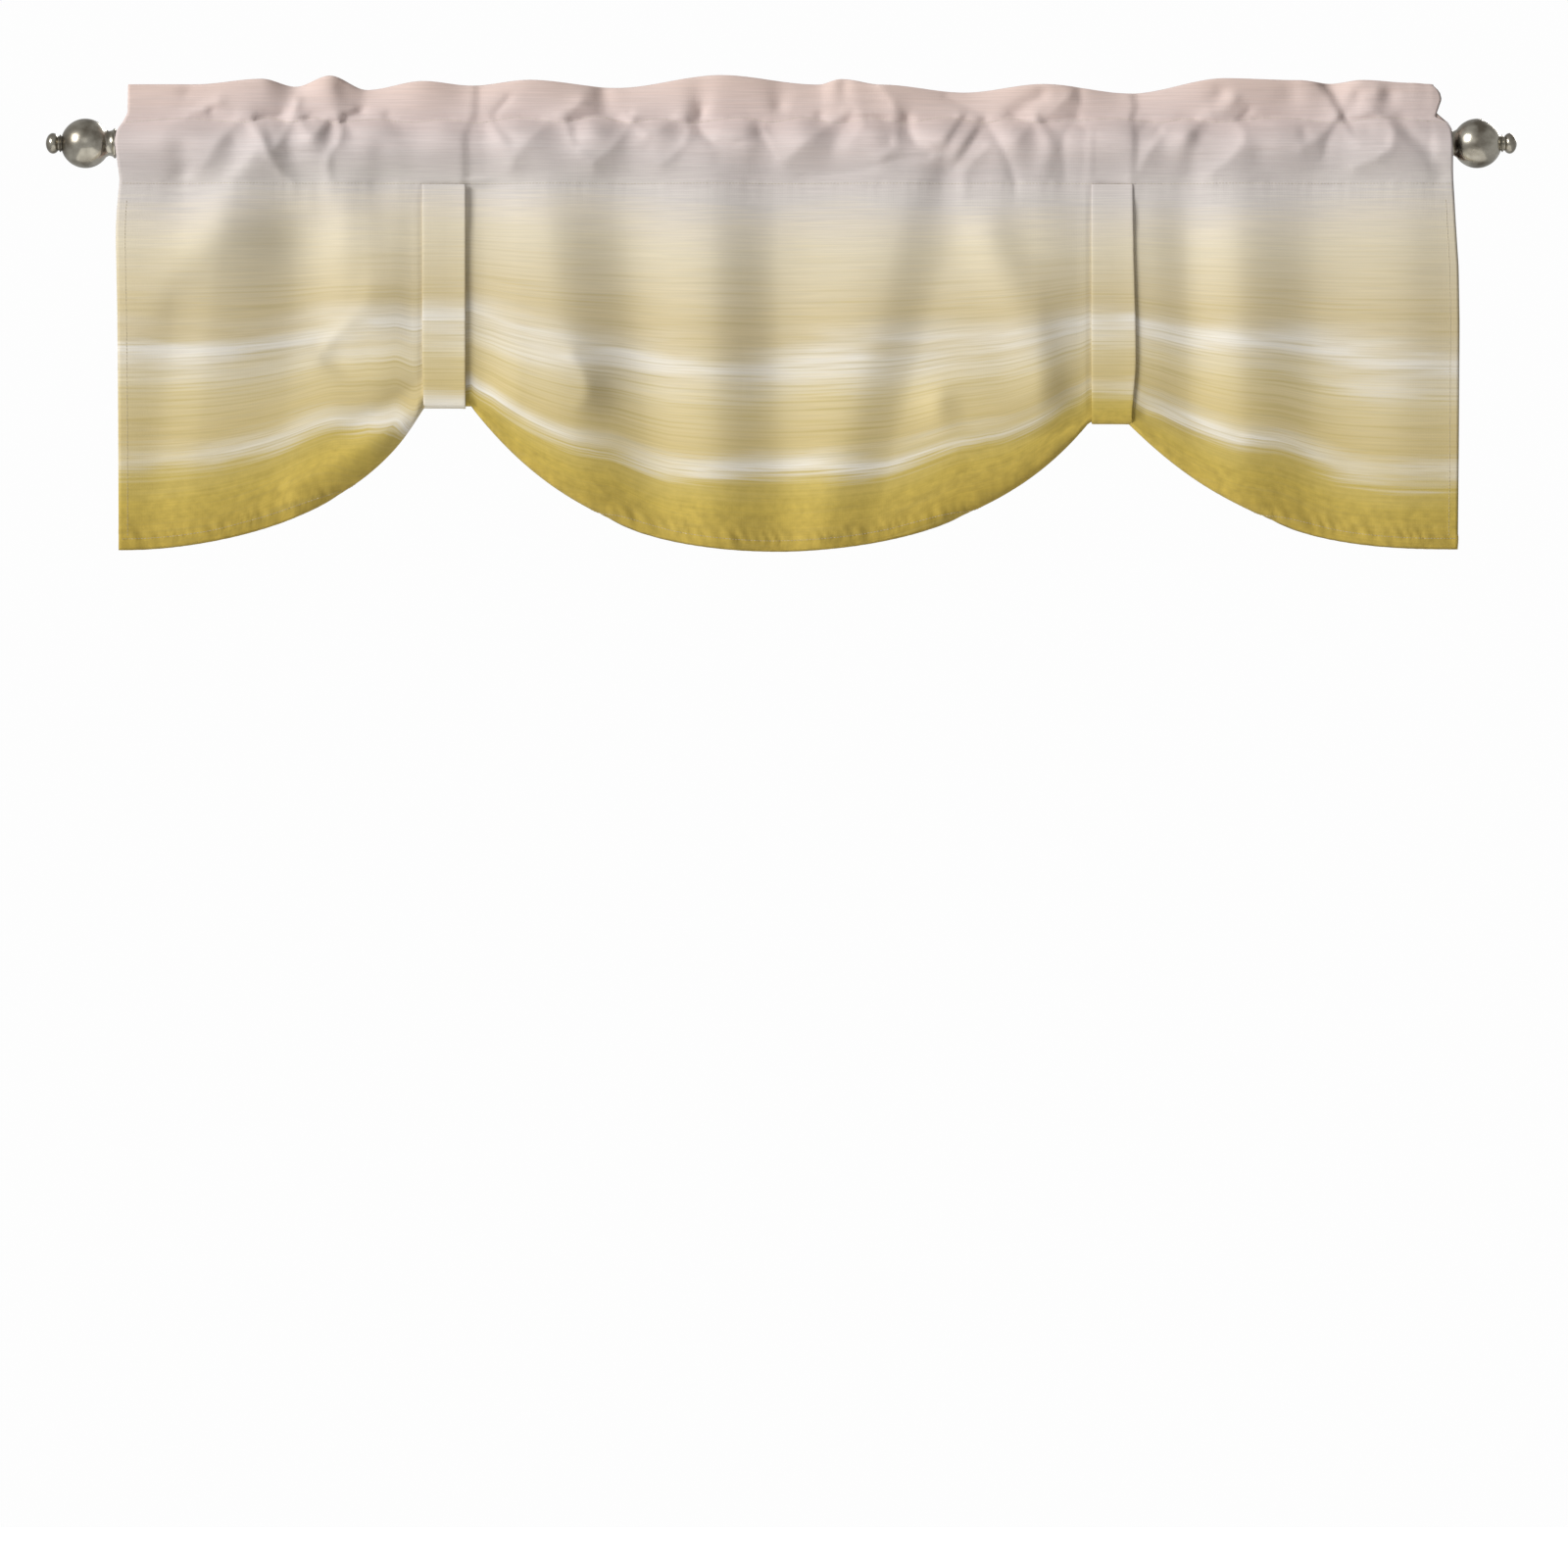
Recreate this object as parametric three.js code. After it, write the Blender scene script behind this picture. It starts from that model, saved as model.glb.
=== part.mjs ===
import * as THREE from 'three';

// Tie-up valance on a curtain rod. Millimetres, x along the rod, front towards -y, z up,
// origin on the rod's axis at the middle of its length.

// Cloth panel
const CLOTH = 1.5;          // thickness of one layer
const SEAM_Z = -39;         // seam that closes the rod pocket below
const PINCH_Z = 22;         // seam between the pocket and the ruffled header
const FULL_DROP = 355;      // cloth from the pocket seam to the hem, laid flat
const SKIRT_LEFT = -646, SKIRT_RIGHT = 658;
const POCKET_LEFT = -644, POCKET_RIGHT = 652;
const HEADER_LEFT = -633, HEADER_RIGHT = 640;
const BASE_Y = -0.75;       // middle of the cloth where it hangs flat
const ROLL_TIED = 4.5;      // radius of the turned-under lower edge pressed inside a band
const HEM_MIN = 6;          // cloth past the start of the turn where nothing is turned under
const HEM_BEND = 0.05;      // and how far, in radians, it bends there
const TURN_SLACK = 12;      // part of the lift that goes into the billow
const BELLY = 11;           // forward billow beside the bands
const FRONT_ROWS = 13, ARC_ROWS = 5, FLAP_ROWS = 2;

// Tie bands
const BAND_WIDTH = 42, BAND_CLOTH = 1.4, BAND_GAP = 0.3;
const BANDS = [
  { name: 'tie_band_left', x: -327, low: -254.7 },
  { name: 'tie_band_right', x: 321.5, low: -270 },
];
const BAND_GRIP = 26;       // half width of cloth that a band holds flat
const FOLD_FREE = 76;       // distance from a band's middle at which the folds hang free
const ROLL_FREE = 50;       // the same for the turned-under edge

// Rod and finials
const ROD_R = 12.5, ROD_WALL = 1.2, ROD_HALF = 644.7;
const SEAT = 0.3;
const FINIAL_X = 645;
const COLLAR_R = 14.5, COLLAR_WAIST = 12, COLLAR_LONG = 7;
const BALL_R = 24, BALL_AT = 29.5;
const NECK_R = 7.5;
const KNOB_R = 10, KNOB_HALF = 6.9, KNOB_AT = 61;
const SPIGOT_LONG = 30;
const COLLAR_CLEAR = 4;     // extra room in the pocket where it runs over a collar

// Lower edge of each half swag: it rises from `foot` at `low` to the band at `lift`,
// and its turned-under edge is `roll` high and `deep` from front to back, as half sizes.
const SWAGS = [
  { low: -646, lift: -351, foot: -394, rise: 139.3, bow: 2.0, roll: 32, deep: 13 },
  { low: -3, lift: -303, foot: -394.5, rise: 139.8, bow: 2.0, roll: 10, deep: 8 },
  { low: -3, lift: 297.5, foot: -394.5, rise: 124.5, bow: 2.0, roll: 12, deep: 8 },
  { low: 658, lift: 345.5, foot: -393, rise: 123, bow: 2.2, roll: 9, deep: 7 },
];

// Hanging folds of the skirt: crests (out > 0) and troughs, where each starts and ends.
const FOLDS = [
  { top: -646, foot: -646, out: 2 },
  { top: -580, foot: -615, out: -5 },
  { top: -536, foot: -572, out: 9 },
  { top: -472, foot: -487, out: -7 },
  { top: -417, foot: -430, out: 6 },
  { top: -377, foot: -382, out: -3 },
  { top: -327, foot: -327, out: 0 },
  { top: -273, foot: -278, out: -5 },
  { top: -224, foot: -197, out: 7 },
  { top: -154, foot: -124, out: -7 },
  { top: -69, foot: -62, out: 8 },
  { top: -3, foot: 2, out: -7 },
  { top: 100, foot: 56, out: 8 },
  { top: 159, foot: 127, out: -6 },
  { top: 196, foot: 226, out: 7 },
  { top: 236, foot: 271, out: -6 },
  { top: 321, foot: 321, out: 0 },
  { top: 387, foot: 397, out: -6 },
  { top: 456, foot: 463, out: 7 },
  { top: 525, foot: 524, out: -6 },
  { top: 611, foot: 599, out: 5 },
  { top: 658, foot: 658, out: -2 },
];

// Slanting puffs and creases that the bands draw into the cloth, each along a line.
const DRAWS = [
  { x0: -300, z0: -236, x1: -196, z1: -240, half: 24, out: 8 },
  { x0: 294, z0: -246, x1: 160, z1: -252, half: 24, out: 8 },
  { x0: 356, z0: -268, x1: 462, z1: -330, half: 15, out: 6 },
  { x0: -352, z0: -196, x1: -444, z1: -196, half: 19, out: -7 },
  { x0: -360, z0: -262, x1: -470, z1: -318, half: 16, out: 6 },
  { x0: 202, z0: -60, x1: 268, z1: -206, half: 9, out: -5 },
];

// Header ruffle: height of its top edge and how far it leans out there.
const RUFFLE = [
  { x: -633, top: 57, out: 0 },
  { x: -567, top: 57, out: 1 },
  { x: -503, top: 62, out: 7 },
  { x: -471, top: 55, out: -6 },
  { x: -437, top: 65, out: 8 },
  { x: -402, top: 52, out: -7 },
  { x: -347, top: 60, out: 4 },
  { x: -300, top: 56, out: -4 },
  { x: -244, top: 61, out: 6 },
  { x: -159, top: 54, out: -7 },
  { x: -59, top: 65.5, out: 8 },
  { x: 36, top: 57, out: -4 },
  { x: 58, top: 62, out: 4 },
  { x: 98, top: 56.5, out: 1 },
  { x: 178, top: 49.5, out: -8 },
  { x: 254, top: 57, out: 5 },
  { x: 339, top: 48.5, out: -7 },
  { x: 430, top: 62.5, out: 7 },
  { x: 501, top: 61, out: 2 },
  { x: 533, top: 58, out: -6 },
  { x: 563, top: 61, out: 4 },
  { x: 611, top: 59, out: 0 },
  { x: 640, top: 50, out: -4 },
];

// Pocket puffs between the places where the gathering pinches the cloth to the rod.
const PUFFS = [
  { x: -644, out: 1 }, { x: -580, out: 5 }, { x: -520, out: 1 }, { x: -498, out: 6 },
  { x: -476, out: 1 }, { x: -453, out: 6 }, { x: -431, out: 0.5 }, { x: -394, out: 4 },
  { x: -358, out: 1 }, { x: -327, out: 4 }, { x: -296, out: 0.5 }, { x: -255, out: 6 },
  { x: -213, out: 1 }, { x: -180, out: 7 }, { x: -147, out: 0.5 }, { x: -120, out: 5 },
  { x: -92, out: 0.5 }, { x: -57, out: 7 }, { x: -22, out: 1 }, { x: 20, out: 6 },
  { x: 62, out: 0.5 }, { x: 91, out: 5 }, { x: 120, out: 0.5 }, { x: 158, out: 6 },
  { x: 197, out: 0.5 }, { x: 222, out: 5 }, { x: 247, out: 1 }, { x: 285, out: 3 },
  { x: 325, out: 5 }, { x: 368, out: 0.5 }, { x: 392, out: 5 }, { x: 416, out: 1 },
  { x: 480, out: 6 }, { x: 541, out: 0.5 }, { x: 580, out: 6 }, { x: 652, out: 1 },
];

// Pocket lining round the rod, from the lower seam up: bore point, outward direction, puff share.
const POCKET_FRONT_AND_BACK = [
  { y: 8.0, z: -19, ny: 0.93, nz: -0.37, share: 0.8 },
  { y: 13.1, z: -4, ny: 0.99, nz: -0.1, share: 1 },
  { y: 13.1, z: 4, ny: 0.99, nz: 0.1, share: 1 },
  { y: 9.7, z: 9.8, ny: 0.7, nz: 0.71, share: 0.6 },
];
const BORE_TOP_Z = 19, BORE_LOW_Z = -35;
const BACK_PUFF = 0.45;     // the back of the pocket puffs less than its front

// Columns across the cloth: closer beside the bands, where the edge turns quickly.
const COLUMN_SPANS = [
  { to: -420, strips: 13 },
  { to: -351, strips: 6 },
  { to: -303, strips: 4 },
  { to: -234, strips: 6 },
  { to: 230, strips: 27 },
  { to: 297.5, strips: 6 },
  { to: 345.5, strips: 4 },
  { to: 415, strips: 6 },
  { to: SKIRT_RIGHT, strips: 13 },
];

const clothFinish = new THREE.MeshStandardMaterial({ color: 0xd9cdb8, roughness: 0.85, metalness: 0 });
const bandFinish = new THREE.MeshStandardMaterial({ color: 0xd6ccbf, roughness: 0.85, metalness: 0 });
const metalFinish = new THREE.MeshStandardMaterial({ color: 0x7d786c, roughness: 0.35, metalness: 1 });

const { lerp, smoothstep } = THREE.MathUtils;

// Value of a table between its rows, eased so that each row is a crest or a trough.
function eased(rows, at, x, key) {
  if (x <= at(rows[0])) return rows[0][key];
  for (let i = 1; i < rows.length; i += 1) {
    const x0 = at(rows[i - 1]), x1 = at(rows[i]);
    if (x <= x1) {
      return lerp(rows[i - 1][key], rows[i][key], smoothstep(x, x0, x1));
    }
  }
  return rows[rows.length - 1][key];
}

// How firmly a band holds the cloth at x: 1 under it, 0 from `free` off its middle.
function grip(x, free) {
  return Math.max(...BANDS.map((b) => 1 - smoothstep(Math.abs(x - b.x), BAND_GRIP, free)));
}

// Lower edge and its roll at x, in a swag or inside a band.
function lowerEdge(x) {
  for (const s of SWAGS) {
    const u = (x - s.low) / (s.lift - s.low);
    if (u >= 0 && u <= 1) {
      return { ...s, z: s.foot + s.rise * (0.7 * u ** s.bow + 0.3 * u ** (3 * s.bow)) };
    }
  }
  const band = BANDS.reduce((a, b) => (Math.abs(x - a.x) < Math.abs(x - b.x) ? a : b));
  return { z: band.low, roll: ROLL_TIED, deep: ROLL_TIED };
}

function drawn(x, z) {
  let out = 0;
  for (const d of DRAWS) {
    const lx = d.x1 - d.x0, lz = d.z1 - d.z0;
    const t = THREE.MathUtils.clamp(((x - d.x0) * lx + (z - d.z0) * lz) / (lx * lx + lz * lz), 0, 1);
    const away = Math.hypot(x - d.x0 - t * lx, z - d.z0 - t * lz) / d.half;
    out += d.out * Math.exp(-away * away);
  }
  return out;
}

// Shape of the turned-under lower edge at x: a part of an ellipse, then a straight flap.
function turn(x) {
  const edge = lowerEdge(x), tied = grip(x, ROLL_FREE);
  const rise = Math.max(0, FULL_DROP - (SEAM_Z - edge.z));
  const length = Math.max(HEM_MIN, rise * rise / (rise + TURN_SLACK));
  const high = lerp(edge.roll, ROLL_TIED, tied), wide = lerp(edge.deep, ROLL_TIED, tied);
  const half = Math.PI * Math.hypot(high, wide) / Math.SQRT2;
  const arc = Math.min(length - HEM_MIN / 2, half);
  const bend = Math.max(HEM_BEND, Math.PI * smoothstep(length, HEM_MIN, 1.4 * half + HEM_MIN / 2));
  const scale = arc * Math.PI / (half * bend);
  const roll = high * scale, deep = wide * scale;
  const start = edge.z + roll * Math.sin(Math.min(bend, Math.PI / 2));
  return { rise, length, arc, bend, roll, deep, start };
}

// How far the hanging cloth stands out at x, a share q of the way down to the turn.
function standsOut(x, q, z, rise) {
  const free = 1 - grip(x, FOLD_FREE);
  const fold = eased(FOLDS, (r) => lerp(r.top, r.foot, q), x, 'out');
  const swell = 0.6 + 0.4 * smoothstep(q, 0, 0.25);
  const belly = BELLY * Math.min(1, rise / 120) * Math.sin(Math.PI * q);
  return free * (fold * swell + belly + drawn(x, z) * smoothstep(q, 0, 0.2));
}

// Middle of the skirt cloth in one column, from the pocket seam down and round to the hem.
function skirtColumn(x) {
  const t = turn(x), rows = [];
  const front = (z) => {
    const q = (SEAM_Z - z) / (SEAM_Z - t.start);
    return BASE_Y - standsOut(x, q, z, t.rise);
  };
  for (let i = 0; i <= FRONT_ROWS; i += 1) {
    const z = lerp(SEAM_Z, t.start, i / FRONT_ROWS);
    rows.push(new THREE.Vector3(x, front(z), z));
  }
  const behind = (a) => {
    const swept = t.bend * Math.min(1, a / t.arc), past = Math.max(0, a - t.arc);
    const along = new THREE.Vector2(t.deep * Math.sin(swept), -t.roll * Math.cos(swept)).setLength(past);
    const z = t.start - t.roll * Math.sin(swept) + along.y;
    const back = t.deep * (1 - Math.cos(swept)) + along.x;
    rows.push(new THREE.Vector3(x, front(Math.max(z, t.start)) + back, z));
  };
  for (let i = 1; i <= ARC_ROWS; i += 1) behind(t.arc * i / ARC_ROWS);
  for (let i = 1; i <= FLAP_ROWS; i += 1) behind(lerp(t.arc, t.length, i / FLAP_ROWS));
  return rows;
}

// Grid normals, facing the printed side.
function gridNormal(grid, i, j) {
  const a = grid[Math.max(0, i - 1)][j], b = grid[Math.min(grid.length - 1, i + 1)][j];
  const col = grid[i];
  const c = col[Math.max(0, j - 1)], d = col[Math.min(col.length - 1, j + 1)];
  return new THREE.Vector3().subVectors(d, c).cross(new THREE.Vector3().subVectors(b, a)).normalize();
}

// Pocket and header points of one column: the outside from front seam to back seam, and the bore.
function pocketColumn(u, x) {
  const px = lerp(POCKET_LEFT, POCKET_RIGHT, u), hx = lerp(HEADER_LEFT, HEADER_RIGHT, u);
  const at = (r) => r.x;
  const lift = eased(PUFFS, at, px, 'out');
  const overCollar = COLLAR_CLEAR * smoothstep(px, FINIAL_X - 25, FINIAL_X - 8);
  const shift = -standsOut(x, 0, SEAM_Z, 0);
  const point = (side, s, grow) => {
    const puff = s.share * lift * (side < 0 ? 1 : BACK_PUFF);
    const far = Math.max(puff, overCollar) + grow;
    return new THREE.Vector3(px, side * (s.y + s.ny * far), s.z + s.nz * far);
  };
  const top = eased(RUFFLE, at, hx, 'top'), lean = -eased(RUFFLE, at, hx, 'out');
  const header = (side, share) => new THREE.Vector3(
    lerp(px, hx, 0.35 + 0.65 * share), lean * share + side * CLOTH, lerp(PINCH_Z, top - 1, share));
  const front = POCKET_FRONT_AND_BACK, back = [...front].reverse();
  return {
    outside: [
      ...front.map((s) => point(-1, s, CLOTH)),
      header(-1, 0), header(-1, 0.5), header(-1, 1),
      new THREE.Vector3(hx, lean, top),
      header(1, 1), header(1, 0.5), header(1, 0),
      ...back.map((s) => point(1, s, CLOTH)),
    ],
    bore: [
      new THREE.Vector3(px, shift, BORE_LOW_Z),
      ...front.map((s) => point(-1, s, 0)),
      new THREE.Vector3(px, 0, BORE_TOP_Z),
      ...back.map((s) => point(1, s, 0)),
    ],
  };
}

// End face of a section with a hole in it.
function ringCap(section) {
  const flat = (p) => new THREE.Vector2(p.y, p.z);
  return THREE.ShapeUtils.triangulateShape(section.outer.map(flat), [section.hole.map(flat)]);
}

// End face of a ribbon, whose ring runs up one side of it and back down the other.
function ribbonCap(section) {
  const last = section.outer.length - 1, faces = [];
  for (let k = 0; k < (last - 1) / 2; k += 1) {
    faces.push([k, k + 1, last - k - 1], [k, last - k - 1, last - k]);
  }
  return faces;
}

// Closed mesh through a row of sections; each section is an outer ring and, if it has one, a hole.
function loft(sections, cap) {
  const outerN = sections[0].outer.length, holeN = sections[0].hole.length, n = outerN + holeN;
  const points = sections.flatMap((s) => [...s.outer, ...s.hole]);
  const index = [];
  for (let i = 0; i + 1 < sections.length; i += 1) {
    for (const [first, count, flip] of [[0, outerN, false], [outerN, holeN, true]]) {
      for (let k = 0; k < count; k += 1) {
        const a = i * n + first + k, b = i * n + first + (k + 1) % count;
        // The back is split along the same diagonal as the front, so that the sheet stays even.
        const quad = k < count / 2 ? [a, b + n, b, a, a + n, b + n] : [a, a + n, b, b, a + n, b + n];
        index.push(...(flip ? quad.reverse() : quad));
      }
    }
  }
  for (const end of [0, sections.length - 1]) {
    const all = [...sections[end].outer, ...sections[end].hole];
    for (const [a, b, c] of cap(sections[end])) {
      const area = THREE.ShapeUtils.area([a, b, c].map((k) => new THREE.Vector2(all[k].y, all[k].z)));
      const tri = (area > 0) === (end > 0) ? [a, b, c] : [a, c, b];
      index.push(...tri.map((k) => end * n + k));
    }
  }
  const geometry = new THREE.BufferGeometry().setFromPoints(points);
  geometry.setIndex(index);
  geometry.computeVertexNormals();
  return geometry;
}

function panelGeometry() {
  const xs = [SKIRT_LEFT];
  for (const span of COLUMN_SPANS) {
    const from = xs[xs.length - 1];
    for (let i = 1; i <= span.strips; i += 1) xs.push(lerp(from, span.to, i / span.strips));
  }
  const grid = xs.map(skirtColumn);
  const sections = xs.map((x, i) => {
    const u = (x - SKIRT_LEFT) / (SKIRT_RIGHT - SKIRT_LEFT);
    const side = (away) => grid[i].map((p, j) => p.clone().addScaledVector(gridNormal(grid, i, j), away));
    const front = side(CLOTH / 2), back = side(-CLOTH / 2);
    back[0].y += CLOTH;     // two layers at the seam
    const pocket = pocketColumn(u, x);
    return { outer: [...front.reverse(), ...pocket.outside, ...back], hole: pocket.bore };
  });
  return loft(sections, ringCap);
}

// A band sewn on at the pocket seam, down the front, under the lifted edge and up the back.
function bandGeometry(band) {
  const t = turn(band.x);
  const away = CLOTH / 2 + BAND_GAP + BAND_CLOTH / 2;
  const yFront = BASE_Y - away, radius = t.deep + away, yMid = BASE_Y + t.deep;
  const flapTop = t.start + t.length - t.arc;
  const path = [];
  const down = 8, round = 10, up = 4;
  for (let i = 0; i < down; i += 1) path.push([yFront, lerp(SEAM_Z - 0.6, t.start, i / down)]);
  for (let i = 0; i <= round; i += 1) {
    const a = Math.PI * i / round;
    path.push([yMid - radius * Math.cos(a), t.start - radius * Math.sin(a)]);
  }
  for (let i = 1; i <= up; i += 1) path.push([yMid + radius, lerp(t.start, flapTop + 8, i / up)]);
  for (let i = 1; i <= up; i += 1) {
    const share = i / up;
    path.push([lerp(yMid + radius, CLOTH + away, smoothstep(share, 0, 1)), lerp(flapTop + 8, SEAM_Z - 2, share)]);
  }
  const normals = path.map((p, i) => {
    const a = path[Math.max(0, i - 1)], b = path[Math.min(path.length - 1, i + 1)];
    return new THREE.Vector2(b[1] - a[1], a[0] - b[0]).normalize();
  });
  const edge = (x, far) => path.map((p, i) => new THREE.Vector3(
    x, p[0] + normals[i].x * far, p[1] + normals[i].y * far));
  const half = BAND_CLOTH / 2;
  const sections = [-1, 1].map((side) => {
    const x = band.x + side * BAND_WIDTH / 2;
    return { outer: [...edge(x, half).reverse(), ...edge(x, -half)], hole: [] };
  });
  return loft(sections, ribbonCap);
}

function tubeGeometry() {
  const inner = ROD_R - ROD_WALL;
  const profile = [[inner, -ROD_HALF], [ROD_R, -ROD_HALF], [ROD_R, ROD_HALF], [inner, ROD_HALF], [inner, -ROD_HALF]];
  return new THREE.LatheGeometry(profile.map(([r, a]) => new THREE.Vector2(r, a)), 48);
}

// Ball finial turned about the rod's axis: spigot, flared collar, ball, neck and end knob.
function finialGeometry() {
  const spigot = ROD_R - ROD_WALL - SEAT;
  const profile = [[0, -SPIGOT_LONG], [spigot, -SPIGOT_LONG], [spigot, 0], [COLLAR_R, 0]];
  for (let i = 1; i <= 4; i += 1) {
    const s = i / 4;
    profile.push([lerp(COLLAR_R, COLLAR_WAIST, Math.sin(s * Math.PI / 2)), COLLAR_LONG * s]);
  }
  const from = Math.PI - Math.asin(COLLAR_WAIST / BALL_R), to = Math.asin(NECK_R / BALL_R);
  for (let i = 0; i <= 13; i += 1) {
    const a = lerp(from, to, i / 13);
    profile.push([BALL_R * Math.sin(a), BALL_AT + BALL_R * Math.cos(a)]);
  }
  const knobFrom = Math.PI - Math.asin(NECK_R / KNOB_R);
  for (let i = 0; i <= 8; i += 1) {
    const a = lerp(knobFrom, 0, i / 8);
    profile.push([i === 8 ? 0 : KNOB_R * Math.sin(a), KNOB_AT + KNOB_HALF * Math.cos(a)]);
  }
  return new THREE.LatheGeometry(profile.map(([r, a]) => new THREE.Vector2(r, a)), 40);
}

function piece(name, geometry, material) {
  const mesh = new THREE.Mesh(geometry, material);
  mesh.name = name;
  return mesh;
}

const valance = new THREE.Group();
valance.name = 'tie_up_valance';
valance.add(piece('valance_panel', panelGeometry(), clothFinish));
for (const band of BANDS) valance.add(piece(band.name, bandGeometry(band), bandFinish));

const rod = piece('rod', tubeGeometry(), metalFinish);
rod.rotation.z = -Math.PI / 2;
valance.add(rod);
for (const [name, side] of [['finial_left', -1], ['finial_right', 1]]) {
  const finial = piece(name, finialGeometry(), metalFinish);
  finial.rotation.z = -side * Math.PI / 2;
  finial.position.x = side * FINIAL_X;
  valance.add(finial);
}

export default valance;
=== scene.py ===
"""Tie-up valance gathered on a curtain rod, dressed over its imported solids.

The scene is in metres. Tables and shapes are in millimetres, in the same frame: x along the rod, front
towards -y, z up, origin on the rod's axis at the middle of its length.
"""

from __future__ import annotations

import logging
import math
from dataclasses import dataclass, field
from enum import Enum
from typing import Any, Sequence

import bpy
import numpy as np
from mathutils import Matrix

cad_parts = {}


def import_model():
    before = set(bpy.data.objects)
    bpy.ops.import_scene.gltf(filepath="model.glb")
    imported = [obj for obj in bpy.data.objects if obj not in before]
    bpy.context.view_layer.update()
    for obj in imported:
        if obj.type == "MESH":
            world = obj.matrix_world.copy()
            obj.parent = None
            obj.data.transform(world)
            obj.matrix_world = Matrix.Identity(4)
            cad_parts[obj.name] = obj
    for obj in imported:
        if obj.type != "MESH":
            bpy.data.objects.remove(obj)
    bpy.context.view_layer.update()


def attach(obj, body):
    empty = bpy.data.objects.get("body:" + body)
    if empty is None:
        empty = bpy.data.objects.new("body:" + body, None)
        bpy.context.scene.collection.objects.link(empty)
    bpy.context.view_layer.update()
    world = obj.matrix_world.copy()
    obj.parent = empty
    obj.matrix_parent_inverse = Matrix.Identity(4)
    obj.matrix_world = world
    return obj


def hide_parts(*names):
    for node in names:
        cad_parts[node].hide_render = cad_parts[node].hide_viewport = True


log = logging.getLogger("valance")

Array = np.ndarray
MM = 0.001
BODY = "root"
# Period of a wave texture whose scale is 1, in metres.
WAVE = 0.314


class Profile(Enum):
    """Shape across a crease: rounded, pinched to an edge, or a step down to the right of its line."""

    ROUND = "round"
    PINCHED = "pinched"
    STEP = "step"


class Side(Enum):
    """End of the rod."""

    LEFT = -1
    RIGHT = 1


PINCHED = Profile.PINCHED


def smoothstep(low: Any, high: Any, value: Any) -> Array:
    """Eases from 0 at `low` to 1 at `high`, which may be the smaller of the two."""
    share = np.clip((value - low) / (high - low), 0.0, 1.0)
    return share * share * (3.0 - 2.0 * share)


def eased(x: Array, places: Sequence[Any], values: Sequence[float]) -> Array:
    """Reads a table between its rows, eased so that each row is a crest or a trough.

    Args:
        x: Where the table is read.
        places: Place of each row, rising; a number, or an array that fits x.
        values: Value of each row.

    Returns:
        The values at x.
    """
    out = np.full(np.shape(x), float(values[0]))
    for i in range(1, len(values)):
        step = values[i] - values[i - 1]
        between = values[i - 1] + step * smoothstep(places[i - 1], places[i], x)
        out = np.where(x > places[i - 1], between, out)
    return out


@dataclass(frozen=True)
class Crease:
    """Soft fold along a line on the hung cloth.

    Attributes:
        path: Points (x, z) from its sharp end to where it dies away.
        half: Half width at the sharp end.
        out: Height towards the viewer there; a trough is negative.
        profile: Shape across the line.
        fade: Share of its height lost at the far end, where it is wider by as much.
        lee: How many times wider it is to the right of a line that runs down.
        edge: Radius of a pinched edge, as a share of the half width.
        step_reach: Half widths within which a step dies away.
    """

    path: tuple[tuple[float, float], ...]
    half: float
    out: float
    profile: Profile = Profile.ROUND
    fade: float = 0.5
    lee: float = 1.0
    edge: float = 0.25
    step_reach: float = 5.0

    def height(self, x: Array, z: Array) -> Array:
        """Height of the fold at points of the cloth.

        Args:
            x: Places along the rod.
            z: Heights.

        Returns:
            How far the fold stands out there.
        """
        points = np.array(self.path, float)
        spans = np.linalg.norm(np.diff(points, axis=0), axis=1)
        nearest = np.full(np.shape(x), np.inf)
        signed, along = np.zeros(np.shape(x)), np.zeros(np.shape(x))
        for i, span in enumerate(spans):
            (x0, z0), (dx, dz) = points[i], (points[i + 1] - points[i]) / span
            run = np.clip((x - x0) * dx + (z - z0) * dz, 0.0, span)
            away = np.hypot(x - x0 - run * dx, z - z0 - run * dz)
            side = dx * (z - z0) - dz * (x - x0)
            closer = away < nearest
            nearest = np.where(closer, away, nearest)
            signed = np.where(closer, side, signed)
            along = np.where(closer, spans[:i].sum() + run, along)
        worn = self.fade * along / spans.sum()
        half = self.half * (1.0 + worn)
        wide = half * (1.0 + (self.lee - 1.0) * (0.5 + 0.5 * signed / np.maximum(nearest, 1e-6)))
        if self.profile is Profile.STEP:
            shape = -np.tanh(signed / half) * np.exp(-((nearest / (self.step_reach * half)) ** 2))
        elif self.profile is PINCHED:
            edge = self.edge * half
            shape = np.exp((edge - np.hypot(nearest, edge)) / wide)
        else:
            shape = np.exp(-((nearest / wide) ** 2))
        return self.out * (1.0 - worn) * shape


@dataclass(frozen=True)
class Swag:
    """Half swag of the lower edge, rising from `foot` at `low` to a band at `lift`.

    Attributes:
        low: Place of its lowest point.
        lift: Place where the band holds it.
        foot: Height of its lowest point.
        rise: Height gained at the band.
        bow: How late the edge rises, as a power.
        late: The same for the last part, beside the band.
        roll: Half height of the turned-under edge.
        deep: Half depth of the turned-under edge.
        hidden: Share of the turned-under cloth whose print doesn't show in front.
    """

    low: float
    lift: float
    foot: float
    rise: float
    bow: float
    late: float
    roll: float
    deep: float
    hidden: float


@dataclass(frozen=True)
class Fold:
    """Hanging fold of the skirt: its place at the seam and at the hem, and how far it stands out."""

    top: float
    foot: float
    out: float


@dataclass(frozen=True)
class Ruffle:
    """Crest or trough of the header: its place, its top edge's height and its lean towards the viewer."""

    x: float
    top: float
    out: float


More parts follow.
